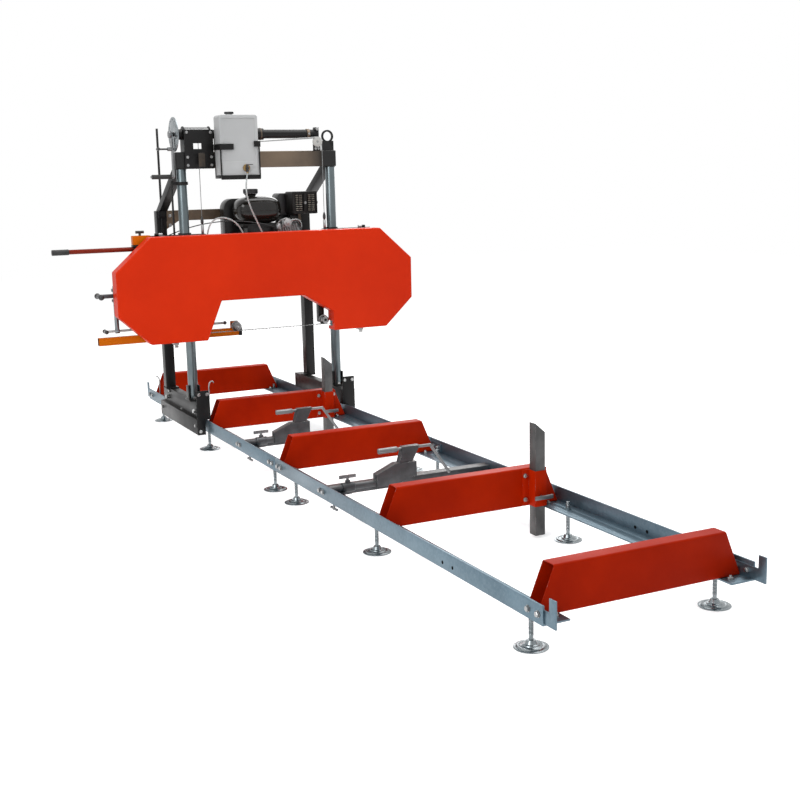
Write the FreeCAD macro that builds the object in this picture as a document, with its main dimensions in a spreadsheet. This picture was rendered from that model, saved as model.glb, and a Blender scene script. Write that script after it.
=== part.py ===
import FreeCAD, Part
import math
import os
import Sketcher
from FreeCAD import Rotation, Vector

# Portable band sawmill: a track with cross beams, a rolling carriage and a saw head that rises on it.
# Frame while modelling: X across the track, Y along it away from the near end, Z up, floor at zero.
# Every node is then moved by the same shift, so that the origin lies under the middle of its box.

doc = FreeCAD.newDocument("BandSawmill")
sheet = doc.addObject("Spreadsheet::Sheet", "Sizes")


class Size:
    """A length with its formula over the sheet's aliases and its present value."""

    def __init__(self, text, value):
        self.text = text
        self.value = value

    def __add__(self, other):
        other = as_size(other)
        return Size("(%s + %s)" % (self.text, other.text), self.value + other.value)

    def __sub__(self, other):
        other = as_size(other)
        return Size("(%s - %s)" % (self.text, other.text), self.value - other.value)

    def __mul__(self, other):
        other = as_size(other)
        return Size("(%s * %s)" % (self.text, other.text), self.value * other.value)

    def __truediv__(self, other):
        other = as_size(other)
        return Size("(%s / %s)" % (self.text, other.text), self.value / other.value)

    def __neg__(self):
        return Size("(0 - %s)" % self.text, -self.value)

    __radd__ = __add__
    __rmul__ = __mul__

    def __rsub__(self, other):
        return as_size(other) - self


def as_size(number):
    if isinstance(number, Size):
        return number
    return Size(repr(number), float(number))


class Names:
    pass


S = Names()


def bind(obj, prop, size):
    obj.setExpression(prop, as_size(size).text)


def place(obj, x, y, z):
    for axis, size in (("x", x), ("y", y), ("z", z)):
        bind(obj, "Placement.Base." + axis, size)


TURN = {
    "X": Rotation(Vector(0, 1, 0), 90),
    "Y": Rotation(Vector(1, 0, 0), -90),
    "Z": Rotation(),
}


def at_axis(axis, at, start):
    a, b = at
    return {"X": (start, a, b), "Y": (a, start, b), "Z": (a, b, start)}[axis]


def slab(name, x, y, z):
    """A box between two planes in each direction."""
    obj = doc.addObject("Part::Box", name)
    bind(obj, "Length", x[1] - x[0])
    bind(obj, "Width", y[1] - y[0])
    bind(obj, "Height", z[1] - z[0])
    place(obj, x[0], y[0], z[0])
    return obj


def rod(name, axis, at, span, radius):
    """A round bar along an axis, centred on the other two coordinates."""
    obj = doc.addObject("Part::Cylinder", name)
    bind(obj, "Radius", radius)
    bind(obj, "Height", span[1] - span[0])
    obj.Placement = FreeCAD.Placement(Vector(), TURN[axis])
    place(obj, *at_axis(axis, at, span[0]))
    return obj


def cone(name, axis, at, span, radius_start, radius_end):
    obj = doc.addObject("Part::Cone", name)
    bind(obj, "Radius1", radius_start)
    bind(obj, "Radius2", radius_end)
    bind(obj, "Height", span[1] - span[0])
    obj.Placement = FreeCAD.Placement(Vector(), TURN[axis])
    place(obj, *at_axis(axis, at, span[0]))
    return obj


def ball(name, at, radius):
    obj = doc.addObject("Part::Sphere", name)
    bind(obj, "Radius", radius)
    place(obj, *at)
    return obj


def hexagon(name, axis, at, span, radius):
    """A six-sided nut or head along an axis."""
    obj = doc.addObject("Part::Prism", name)
    obj.Polygon = 6
    bind(obj, "Circumradius", radius)
    bind(obj, "Height", span[1] - span[0])
    obj.Placement = FreeCAD.Placement(Vector(), TURN[axis])
    place(obj, *at_axis(axis, at, span[0]))
    return obj


def slant(name, start, end, radius, plane):
    """A round bar between two points of one plane, XZ or YZ."""
    obj = doc.addObject("Part::Cylinder", name)
    run = (end[0] - start[0]) if plane == "XZ" else (end[1] - start[1])
    rise = end[2] - start[2]
    length = Size("sqrt(%s ^ 2 + %s ^ 2)" % (run.text, rise.text), math.hypot(run.value, rise.value))
    bind(obj, "Radius", radius)
    bind(obj, "Height", length)
    axis = Vector(0, 1, 0) if plane == "XZ" else Vector(-1, 0, 0)
    degrees = math.degrees(math.atan2(run.value, rise.value))
    obj.Placement = FreeCAD.Placement(Vector(), Rotation(axis, degrees))
    obj.setExpression("Placement.Rotation.Angle", "atan2(%s; %s)" % (run.text, rise.text))
    place(obj, *start)
    return obj


def cut(name, base, tools):
    tools = tools if isinstance(tools, list) else [tools]
    tool = tools[0]
    if len(tools) > 1:
        tool = fuse(name + "Tools", tools)
    obj = doc.addObject("Part::Cut", name)
    obj.Base = base
    obj.Tool = tool
    return obj


def common(name, base, tool):
    obj = doc.addObject("Part::Common", name)
    obj.Base = base
    obj.Tool = tool
    return obj


def fuse(name, parts):
    if len(parts) == 1:
        return parts[0]
    obj = doc.addObject("Part::MultiFuse", name)
    obj.Shapes = parts
    obj.Refine = True
    return obj


PLANES = {"XY": "XY_Plane", "XZ": "XZ_Plane", "YZ": "YZ_Plane"}


def origin_plane(body, plane):
    for feature in body.Origin.OriginFeatures:
        if feature.Role == PLANES[plane]:
            return feature


def outline(sketch, points):
    """A closed outline whose every corner is tied to the sheet."""
    count = len(points)
    first = sketch.GeometryCount
    ends = [Vector(as_size(a).value, as_size(b).value, 0) for a, b in points]
    for i in range(count):
        sketch.addGeometry(Part.LineSegment(ends[i], ends[(i + 1) % count]), False)
    for i in range(count):
        line, following = first + i, first + (i + 1) % count
        sketch.addConstraint(Sketcher.Constraint("Coincident", line, 2, following, 1))
    for i in range(count):
        for kind, value, datum in (("DistanceX", points[i][0], -2), ("DistanceY", points[i][1], -1)):
            size = as_size(value)
            if size.text in ("0", "0.0"):
                sketch.addConstraint(Sketcher.Constraint("PointOnObject", first + i, 1, datum))
                continue
            number = sketch.addConstraint(
                Sketcher.Constraint(kind, -1, 1, first + i, 1, size.value))
            sketch.setExpression("Constraints[%d]" % number, size.text)


def new_sketch(body, plane):
    sketch = body.newObject("Sketcher::SketchObject", body.Name + "Sketch")
    sketch.AttachmentSupport = [(origin_plane(body, plane), "")]
    sketch.MapMode = "FlatFace"
    return sketch


def prism(name, plane, points, span, holes=()):
    """An outline in XZ, YZ or XY, padded between two planes across it."""
    body = doc.addObject("PartDesign::Body", name)
    sketch = new_sketch(body, plane)
    outline(sketch, points)
    for hole in holes:
        outline(sketch, hole)
    pad = body.newObject("PartDesign::Pad", name + "Pad")
    pad.Profile = sketch
    bind(pad, "Length", span[1] - span[0])
    bind(sketch, "AttachmentOffset.Base.z", -span[1] if plane == "XZ" else span[0])
    body.Tip = pad
    return body


def lathe(name, axis, at, points):
    """An outline of (radius, place along the axis) pairs, turned once about the axis."""
    body = doc.addObject("PartDesign::Body", name)
    sketch = new_sketch(body, "XZ")
    outline(sketch, points)
    turned = body.newObject("PartDesign::Revolution", name + "Turned")
    turned.Profile = sketch
    turned.ReferenceAxis = (sketch, ["V_Axis"])
    turned.Angle = 360
    body.Tip = turned
    body.Placement = FreeCAD.Placement(Vector(), TURN[axis])
    place(body, *at_axis(axis, at, as_size(0)))
    return body


def rounded(name, x, y, z, radius, axis):
    """A box with its four edges along one axis rounded."""
    plane = {"X": "YZ", "Y": "XZ", "Z": "XY"}[axis]
    across = {"X": (y, z), "Y": (x, z), "Z": (x, y)}[axis]
    span = {"X": x, "Y": y, "Z": z}[axis]
    (a0, a1), (b0, b1) = across
    body = prism(name, plane, [(a0, b0), (a1, b0), (a1, b1), (a0, b1)], span)
    soften(body, radius, lambda e: along(e, axis))
    return body


def along(edge, axis):
    """True for a straight edge that runs along the given axis."""
    if len(edge.Vertexes) != 2:
        return False
    step = edge.Vertexes[1].Point - edge.Vertexes[0].Point
    parts = {"X": step.x, "Y": step.y, "Z": step.z}
    return abs(abs(parts[axis]) - step.Length) < step.Length / 1000


def soften(body, radius, chosen):
    """Round the chosen edges of a body's last feature."""
    doc.recompute()
    base = body.Tip
    names = ["Edge%d" % (i + 1) for i, e in enumerate(base.Shape.Edges) if chosen(e)]
    fillet = body.newObject("PartDesign::Fillet", body.Name + "Round")
    fillet.Base = (base, names)
    bind(fillet, "Radius", radius)
    body.Tip = fillet
    return body


def tube(name, axis, at, span, outer, inner):
    """A round tube; its bore runs past both ends by the named overrun."""
    bore = rod(name + "Bore", axis, at, (span[0] - S.Overrun, span[1] + S.Overrun), inner)
    return cut(name, rod(name + "Body", axis, at, span, outer), bore)


nodes = []


def node(label, parts):
    """One named piece: its solids, moved to the part's own frame."""
    obj = doc.addObject("Part::Compound", "Node_" + label)
    obj.Links = parts
    obj.Label = label
    place(obj, SHIFT_X, SHIFT_Y, as_size(0))
    nodes.append(obj)
    return obj


# Sizes in millimetres, grouped by piece.
SIZES = {
    # Common
    "Overrun": 5, "SlideGap": 0.5, "RunGap": 0.3, "SeatGap": 0.3, "TubeWall": 4,
    # Rails
    "RailGauge": 900, "RailHeight": 70, "RailFlange": 108, "RailThick": 6, "RailBottom": 134,
    "RailLength": 4880, "RailSplice": 2450, "SpliceGap": 2, "SpliceLength": 220, "SpliceHeight": 48,
    # End stops
    "StopReach": 65, "StopFinger": 38, "StopFingerTop": 238, "StopPlateTop": 188, "StopInside": 115,
    # Cross beams
    "BunkHeight": 172, "BunkDepth": 70, "BunkTopHalf": 365, "BunkFootHalf": 436, "BunkWall": 3,
    "BunkRound": 8, "BunkInset": 60,
    # Levelling feet
    "FootInset": 51, "FootRod": 8, "FootPad": 60, "FootPadEdge": 3, "FootDomeHeight": 12,
    "FootDome": 24, "FootSocket": 15, "FootSocketTop": 28, "FootRodTop": 34, "FootNut": 14,
    "FootNutHeight": 10, "FootEnd": 150, "FootLeftFour": 1368, "FootRightFour": 1097, "FootThree": 2300,
    "FootTwo": 2597, "FootOne": 3709,
    # Log clamps
    "ClampNear": 577.5, "ClampFar": 565, "ClampBarLeft": 430, "ClampNearReach": 178,
    "ClampFarReach": 246, "ClampBarHeight": 180, "ClampBarRadius": 16, "ClampSleeveLeft": 364,
    "ClampSleeveLength": 60, "ClampSleeveRadius": 23, "ClampBracketThick": 8, "ClampCrossWide": 60,
    "ClampCrossHigh": 40, "ClampCrossGap": 26, "ClampBodyDepth": 44, "ClampBodyRise": 84,
    "ClampBodyWide": 92, "ClampBodyLean": 85, "ClampBoxWide": 150, "ClampBoxLow": 14,
    "ClampBoxRise": 76, "ClampHeadWide": 108, "ClampHeadRise": 158, "ClampHeadLean": 40,
    "ClampHeadDepth": 34, "DogRodRise": 148, "DogRodRadius": 7, "DogRodAhead": 65, "DogHookRun": 101,
    "DogHookDrop": 148, "DogGripLength": 95, "DogGripRadius": 13, "DogGripAhead": 6,
    "ClampWingLength": 84, "ClampWingThick": 7, "ClampWingHigh": 16, "ClampScrewRadius": 6,
    "ClampScrewRise": 34, "ClampBossRadius": 12, "ClampBossRise": 10,
    # Log stops
    "PostLeft": 286, "PostSide": 50, "PostWall": 4, "PostLow": 12, "PostTop": 519, "PostSlant": 43,
    "PostSleeveLow": 146, "PostSleeveTop": 306, "PostSleeveWall": 4, "PostFlange": 32,
    "StopWingLength": 92, "StopWingHigh": 18, "StopWingThick": 7, "StopScrewHeight": 192,
    "StopScrewOut": 22,
    # Side members
    "CarriageFront": 3580, "CarriageLength": 800, "MemberOuter": 505, "MemberInner": 425,
    "MemberTop": 300, "MemberStep": 208, "MemberSkirtLow": 118, "MemberInset": 25, "MemberWall": 4,
    "EndPlateTop": 380, "RailPass": 8, "WheelRadius": 40, "WheelFlange": 48, "WheelWide": 24,
    "WheelGroove": 9, "WheelAxle": 9, "WheelHub": 18, "WheelSetback": 110, "WheelRearSetback": 110,
    "AxleHead": 13, "AxleHeadHigh": 7,
    # Columns
    "ColumnAcross": 467, "ColumnBack": 186, "ColumnRadius": 29, "ColumnWall": 4, "ColumnTop": 1658,
    "SeatPlate": 8, "SeatHalf": 50, "TabHeight": 80, "TabThick": 6, "TabHalf": 25,
    # Rear frame
    "PostAcross": 476, "PostBack": 663, "PostWide": 60, "RearTop": 1411, "RearBeamHigh": 62,
    "GussetLong": 80, "GussetHigh": 50, "BraceWide": 50, "BraceFrontLow": 18, "BraceFrontTop": 42,
    "BraceRear": 22, "MastRadius": 7, "MastTop": 1905, "MastLow": 1250, "MastClamp": 22,
    "MastClampHigh": 44, "ScaleAcross": 528, "ScaleRadius": 6, "ScaleLow": 700, "ScaleTop": 1590,
    "ScaleCollarLow": 1566, "ScaleCollarHigh": 18, "ScaleCollarWall": 7,
    # Top beam
    "BeamLeft": 500, "BeamRight": 497, "BeamDeep": 60, "BeamHigh": 94, "BeamRound": 5, "EyeAcross": 457,
    "EyeOuter": 38, "EyeInner": 27, "EyeRise": 85, "EyeThick": 12,
    # Winch
    "WinchHeight": 194, "PlateLeft": 455, "PlateRight": 283, "PlateThick": 4, "PlateLow": 2,
    "PlateRise": 219, "WindowLeft": 403, "WindowRight": 355, "WindowLow": 110, "WindowHigh": 32,
    "CheekThick": 6, "PlateGap": 20, "ShaftRadius": 12, "DrumRadius": 37, "DrumFlange": 46,
    "DrumFlangeThick": 5, "CableRadius": 2, "DiscRadius": 98, "DiscThick": 5, "DiscBoss": 30,
    "DiscBossLong": 43, "DiscHoleRing": 82, "DiscHole": 6, "TubeRadius": 26, "TubeEnd": 372,
    "SleeveRadius": 31, "SleeveLeft": 30, "SleeveLong": 46, "BearingThick": 22, "BearingHalf": 20,
    "BearingRise": 38, "CrankGap": 6, "CrankThick": 8, "CrankWide": 26, "CrankReach": 238,
    "CrankNut": 20, "CrankNutLong": 14, "GripLong": 115, "GripRadius": 13, "GripStub": 7,
    "GripStart": 9, "PinRadius": 5, "PinKnob": 8, "PinOut": 58, "PinRise": 34, "PinBoss": 11,
    "PinBossLong": 24, "PinGap": 1, "PulleyAcross": 375, "PulleyRadius": 30, "PulleyWide": 12,
    "PulleyRise": 52, "PulleyGroove": 4, "PulleyPlateHalf": 24, "PulleyPlateThick": 6, "PulleyPin": 6,
    "CableDropLeft": 370, "CableTurn": 320, "CableTurnRise": 36, "GuideSheave": 10,
    "TurnbuckleRadius": 8, "TurnbuckleLong": 52,
    # Water tank
    "TankLeft": 277, "TankWide": 230, "TankFront": 3603, "TankDeep": 103, "TankLow": 1601,
    "TankHigh": 354, "TankRound": 16, "TankRecess": 3, "TankRecessInset": 20, "TankCapAcross": 200,
    "TankCapRadius": 26, "TankCapHigh": 12, "TankNeck": 20, "TankNeckHigh": 6, "TankCapBack": 50,
    "TrayThick": 4, "TrayLip": 18, "TrayBackHigh": 230, "StrutHalf": 30, "StrutLow": 80,
    "StrutHigh": 50, "TapAcross": 128, "TapHigh": 52, "TapBody": 9, "TapLong": 30, "TapNut": 14,
    "TapNutLong": 8, "TapSpout": 7, "TapSpoutDrop": 22, "TapStemHigh": 9, "TapLeverLong": 34,
    "TapLeverWide": 10, "TapLeverThick": 4, "TapHandle": 6, "HoseRadius": 4.5, "HoseBore": 3,
    # Saw head
    "BladeHeight": 710, "BandRadius": 245, "BandAcross": 600, "BandPlane": 3650, "BandWide": 32,
    "BandRim": 16, "BandWeb": 8, "BandHub": 38, "BandHubLong": 40, "BladeThick": 1.2, "BladeWide": 34,
    "HeadBeamFront": 3672, "HeadBeamBack": 3733, "HeadBeamLow": 200, "HeadBeamHigh": 90,
    "HeadBeamWall": 5, "HeadBeamLeft": 545, "HeadBeamRight": 700, "SleeveRadius2": 38, "SleeveLow": 170,
    "SleeveTop": 580, "ShaftDrive": 17, "DrivePulley": 110, "PulleyGrooveDeep": 8, "PulleyBack": 3836,
    "PulleyThick": 26, "ShaftEnd": 3870, "FlangeRadius": 45, "FlangeThick": 30, "HingeArmLeft": 784,
    "HingeArmRight": 700, "HingeArmLow": 527, "HingeArmHigh": 46, "HingeArmFront": 3706,
    "HingeArmDeep": 40, "CableEar": 12, "LatchPostHalf": 12, "LatchPostFront": 3685.5,
    "LatchPostThick": 5, "LatchPostBelow": 43,
    # Cover
    "CoverFront": 3590, "CoverBack": 3684, "CoverTop": 570, "CoverTopHalf": 714, "CoverHalf": 925,
    "CoverSideTop": 380, "CoverSideLow": 132, "CoverBelow": 39, "CoverFootOuter": 743,
    "CoverLeftInner": 411, "CoverLeftShoulder": 317, "CoverMid": 187, "CoverRightShoulder": 200,
    "CoverRightInner": 390, "CoverRightKnee": 76, "CoverWall": 2.5, "BladeSlotHalf": 16,
    "BladeSlotFront": 28, "SlotLeftEnd": 370, "SlotReach": 30, "HingeAcross": 640, "HingeHalf": 22,
    "HingeRadius": 8, "HingePin": 4, "HingeAxisBack": 3702, "HingeHeight": 580, "HingeLeaf": 3,
    "LatchAcross": 588, "LatchHalf": 11, "LatchAxisFront": 3645, "LatchBarrel": 7, "LatchPin": 3.5,
    "LatchDrop": 8, "LatchThick": 5, "LatchEar": 4, "LatchHookHigh": 20, "LatchHookThick": 3,
    "LatchTab": 24, "LatchTabLong": 18,
    # Blade tension
    "BlockDeep": 46, "BlockHigh": 76, "BlockLeft": 690, "BlockRight": 400, "AxleRadius": 15,
    "StrapThick": 8, "StrapLeft": 888, "StrapRight": 520, "CagePlate": 8, "CageBack": 3757,
    "ScrewRadius": 9, "ScrewSleeve": 12, "ScrewEnd": 1000, "TeeRadius": 13, "TeeHalf": 50,
    "TeeBall": 16,
    # Guide arm
    "ArmLeft": 1020, "ArmRight": 190, "ArmBelow": 35, "ArmHigh": 44, "ArmFront": 3695, "ArmDeep": 36,
    "ArmWall": 3, "ArmCap": 18, "LockAbove": 32, "LockBack": 3728, "LockRadius": 7, "LockLeft": 972,
    "LockRight": 255, "LockTeeHalf": 28, "LockTeeRadius": 8, "RollerRadius": 22, "RollerFlange": 29,
    "RollerFlangeWide": 5, "RollerLong": 35, "RollerPin": 8, "RollerLeftAcross": 212,
    "RollerRightAcross": 350, "RollerBlockHalf": 22, "RollerBlockHigh": 42, "RollerBlockDeep": 23,
    "HangerAcross": 905, "HangerRadius": 13, "HangerEye": 14, "HangerEyeHalf": 12, "HangerTie": 30,
    "HangerInner": 400, "HangerOuter": 530, "HangerHalf": 22, "HangerWall": 8, "HangerPlate": 20,
    "GuidePostHalf": 18, "GuidePostInset": 2,
    # Hose clips
    "ClipAcross": 347, "ClipHalf": 8, "ClipBack": 3741.5, "ClipLow": 228, "ClipHigh": 14,
    "ClipTip": 347.6, "ClipFront": 3729,
    # Push handle
    "HandleReach": 1240, "HandleGrip": 92, "HandleGripRadius": 16, "HandleTube": 13, "HandleInner": 650,
    "HandleHeight": 502, "HandleBack": 3726, "HandleClampRight": 690, "HandleClampWall": 9,
    "KnobStem": 7, "KnobRise": 24, "KnobHalf": 24, "KnobRadius": 8, "KnobAcross": 742,
    # Engine
    "EngineAcross": 60, "CrankHeight": 475, "MountLow": 328, "MountThick": 12, "MountLeft": 115,
    "MountRight": 170, "MountBack": 4180, "MountWeb": 6, "MountTail": 24, "EngineFront": 3895,
    "CaseBack": 4075, "CaseHalf": 95, "CaseTop": 612, "CaseRound": 30, "CaseWall": 10, "CowlLeft": 118,
    "CowlRight": 180, "CowlTop": 764, "CowlLow": 366, "CowlBack": 4160, "CowlRound": 62, "HeadIn": 20,
    "HeadLow": 466, "HeadRun": 175, "HeadRise": 60, "HeadThick": 100, "HeadLean": 35,
    "HeadFront": 3925, "HeadBack": 4055, "CasePort": 24, "CasePortLong": 15, "ShaftIn": 35,
    "ExhaustLeft": 270, "ExhaustRight": 322, "ExhaustFront": 3950, "ExhaustBack": 3990,
    "ExhaustLow": 580, "IntakeLeft": 206, "IntakeRight": 300, "IntakeFront": 4018, "IntakeBack": 4054,
    "IntakeLow": 590,
    # Fuel tank
    "FuelLeft": 72, "FuelRight": 200, "FuelFront": 3890, "FuelBack": 4070, "FuelTop": 774,
    "FuelRound": 46, "FuelWall": 3, "FuelCapAcross": 25, "FuelCapBack": 3980, "FuelNeck": 34,
    "FuelNeckUpper": 28, "FuelNeckHigh": 20, "FuelCapRadius": 44, "FuelCapHigh": 28,
    # Engine fittings
    "MuffLeft": 262, "MuffRight": 426, "MuffFront": 3884, "MuffBack": 4008, "MuffLow": 662,
    "MuffTop": 799, "MuffRound": 10, "MuffWall": 4, "SlotWide": 7, "SlotPitch": 16, "SlotDeep": 6,
    "SlotInset": 18, "AirLeft": 214, "AirRight": 330, "AirFront": 4014, "AirBack": 4120, "AirLow": 650,
    "AirTop": 790, "AirRound": 26, "OutShaft": 13, "OutPulley": 46, "BeltThick": 8, "BeltWide": 14,
    "RecoilRadius": 74, "RecoilDeep": 16, "RecoilGripLong": 70, "RecoilGrip": 9, "RecoilAcross": 150,
    "RecoilHeight": 690, "RecoilBoss": 13, "RecoilBossLong": 12, "LeverAcross": 130,
    "LeverHeight": 580, "LeverLong": 62, "LeverWide": 10, "LeverThick": 4, "LeverPin": 5,
    "LeverFront": 3872, "LeverKnob": 8,
}
for row, (name, value) in enumerate(SIZES.items(), 1):
    sheet.set("A%d" % row, name)
    sheet.set("B%d" % row, str(value))
    sheet.setAlias("B%d" % row, name)
doc.recompute()
for name in SIZES:
    setattr(S, name, Size("Sizes." + name, float(sheet.get(name))))

HALF = S.RailGauge / 2
RAIL_TOP = S.RailBottom + S.RailHeight
FLANGE_TOP = S.RailBottom + S.RailThick
BUNK_TOP = FLANGE_TOP + S.BunkHeight
# Heights on the saw head, which follow the height of the blade.
HEAD_BEAM_LOW = S.BladeHeight + S.HeadBeamLow
SLEEVE_LOW = S.BladeHeight + S.SleeveLow
SLEEVE_TOP = S.BladeHeight + S.SleeveTop
HINGE_ARM_LOW = S.BladeHeight + S.HingeArmLow
LATCH_POST_LOW = S.BladeHeight - S.LatchPostBelow
COVER_TOP = S.BladeHeight + S.CoverTop
COVER_SIDE_TOP = S.BladeHeight + S.CoverSideTop
COVER_SIDE_LOW = S.BladeHeight + S.CoverSideLow
COVER_LOW = S.BladeHeight - S.CoverBelow
COVER_MID = S.BladeHeight + S.CoverMid
COVER_RIGHT_KNEE = S.BladeHeight + S.CoverRightKnee
HINGE_HEIGHT = S.BladeHeight + S.HingeHeight
ARM_LOW = S.BladeHeight - S.ArmBelow
HANDLE_HEIGHT = S.BladeHeight + S.HandleHeight
CLIP_LOW = S.BladeHeight + S.ClipLow
CRANK_HEIGHT = S.BladeHeight + S.CrankHeight
MOUNT_LOW = S.BladeHeight + S.MountLow
CASE_TOP = S.BladeHeight + S.CaseTop
COWL_TOP = S.BladeHeight + S.CowlTop
COWL_LOW = S.BladeHeight + S.CowlLow
CYLINDER_LOW = S.BladeHeight + S.HeadLow
EXHAUST_LOW = S.BladeHeight + S.ExhaustLow
INTAKE_LOW = S.BladeHeight + S.IntakeLow
FUEL_TOP = S.BladeHeight + S.FuelTop
MUFFLER_LOW = S.BladeHeight + S.MuffLow
MUFFLER_TOP = S.BladeHeight + S.MuffTop
AIR_LOW = S.BladeHeight + S.AirLow
AIR_TOP = S.BladeHeight + S.AirTop
RECOIL_HEIGHT = S.BladeHeight + S.RecoilHeight
LEVER_HEIGHT = S.BladeHeight + S.LeverHeight
CABLE_ANCHOR = HINGE_ARM_LOW + S.HingeArmHigh
SHIFT_X = (S.HandleReach - S.CoverHalf) / 2
SHIFT_Y = -(S.RailLength / 2)


def mirror_x(side, points):
    return [(x * side, z) for x, z in points]


def ordered(side, near, far):
    """A span across X on the given side, low value first."""
    return (near, far) if side > 0 else (-far, -near)


# Rails: L-shaped steel in two sections each, with holes for the feet.
FEET_LEFT = [S.FootEnd, S.FootLeftFour, S.FootThree, S.FootTwo, S.FootOne, S.RailLength - S.FootEnd]
FEET_RIGHT = [S.FootEnd, S.FootRightFour, S.FootThree, S.FootTwo, S.FootOne, S.RailLength - S.FootEnd]
FOOT_ACROSS = HALF - S.FootInset


def rail(side, feet):
    word = "Left" if side < 0 else "Right"
    profile = mirror_x(side, [
        (HALF, S.RailBottom), (HALF - S.RailFlange, S.RailBottom), (HALF - S.RailFlange, FLANGE_TOP),
        (HALF - S.RailThick, FLANGE_TOP), (HALF - S.RailThick, RAIL_TOP), (HALF, RAIL_TOP),
    ])
    sections = []
    middle = S.RailSplice
    spans = ((as_size(0), middle - S.SpliceGap / 2), (middle + S.SpliceGap / 2, S.RailLength))
    for number, span in enumerate(spans):
        bar = prism("Rail%s%d" % (word, number), "XZ", profile, span)
        here = feet[:3] if number == 0 else feet[3:]
        holes = [rod("FootHole%s%d%d" % (word, number, i), "Z", (FOOT_ACROSS * side, y),
                     (S.RailBottom - S.Overrun, FLANGE_TOP + S.Overrun), S.FootRod + S.SlideGap)
                 for i, y in enumerate(here)]
        sections.append(cut("RailSection%s%d" % (word, number), bar, holes))
    return sections


node("rails", rail(-1, FEET_LEFT) + rail(1, FEET_RIGHT))

# Splice plates inside the rails and end stops with an upturned finger.
fittings = []
inner_face = HALF - S.RailThick
for side in (-1, 1):
    fittings.append(slab(
        "SplicePlate", ordered(side, inner_face - S.RailThick, inner_face),
        (S.RailSplice - S.SpliceLength / 2, S.RailSplice + S.SpliceLength / 2),
        (FLANGE_TOP, FLANGE_TOP + S.SpliceHeight)))
    for far in (0, 1):
        def reach(y):
            return S.RailLength + y if far else -y
        fittings.append(prism(
            "EndStop", "YZ", [
                (reach(-S.StopInside), FLANGE_TOP), (reach(S.StopReach), FLANGE_TOP),
                (reach(S.StopReach), S.StopFingerTop),
                (reach(S.StopReach - S.StopFinger), S.StopFingerTop),
                (reach(S.StopReach - S.StopFinger), S.StopPlateTop),
                (reach(-S.StopInside), S.StopPlateTop)],
            ordered(side, inner_face - S.RailThick, inner_face)))
node("rail_fittings", fittings)

# Five cross beams: rectangular tube with rounded corners and slanted open ends.
BUNK_PITCH = (S.RailLength - 2 * S.BunkInset - S.BunkDepth) / 4


def bunk_front(number):
    return S.BunkInset + BUNK_PITCH * number


# Each clamp bar lies behind the front of its cross beam.
CLAMP_NEAR = bunk_front(1) + S.ClampNear
CLAMP_FAR = bunk_front(2) + S.ClampFar


def bunk(number):
    y0 = bunk_front(number)
    y1 = y0 + S.BunkDepth
    long = (-S.BunkFootHalf - S.Overrun, S.BunkFootHalf + S.Overrun)
    outer = rounded("BunkOuter%d" % number, (-S.BunkFootHalf, S.BunkFootHalf), (y0, y1),
                    (FLANGE_TOP, BUNK_TOP), S.BunkRound, "X")
    inner = rounded("BunkInner%d" % number, long, (y0 + S.BunkWall, y1 - S.BunkWall),
                    (FLANGE_TOP + S.BunkWall, BUNK_TOP - S.BunkWall), S.BunkRound - S.BunkWall, "X")
    wide = prism("BunkEnds%d" % number, "XZ", [
        (-S.BunkFootHalf, FLANGE_TOP), (S.BunkFootHalf, FLANGE_TOP),
        (S.BunkTopHalf, BUNK_TOP), (-S.BunkTopHalf, BUNK_TOP)], (y0, y1))
    return common("Bunk%d" % number, cut("BunkTube%d" % number, outer, inner), wide)


node("bunks", [bunk(i) for i in range(5)])


# Levelling feet: dished pad, socket and threaded rod, with a nut above and below the flange.
def foot(side, y, number):
    across = FOOT_ACROSS * side
    top = FLANGE_TOP + S.FootRodTop
    turned = lathe("FootPad%d" % number, "Z", (across, y), [
        (as_size(0), 0), (S.FootPad, 0), (S.FootPad, S.FootPadEdge), (S.FootDome, S.FootDomeHeight),
        (S.FootSocket, S.FootSocketTop), (S.FootRod, S.FootSocketTop), (S.FootRod, top),
        (as_size(0), top)])
    low = hexagon("FootNutLow%d" % number, "Z", (across, y),
                  (S.RailBottom - S.FootNutHeight, S.RailBottom), S.FootNut)
    high = hexagon("FootNutHigh%d" % number, "Z", (across, y),
                   (FLANGE_TOP, FLANGE_TOP + S.FootNutHeight), S.FootNut)
    return fuse("Foot%d" % number, [turned, low, high])


node("levelling_feet", [foot(-1, y, i) for i, y in enumerate(FEET_LEFT)]
     + [foot(1, y, 6 + i) for i, y in enumerate(FEET_RIGHT)])


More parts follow.
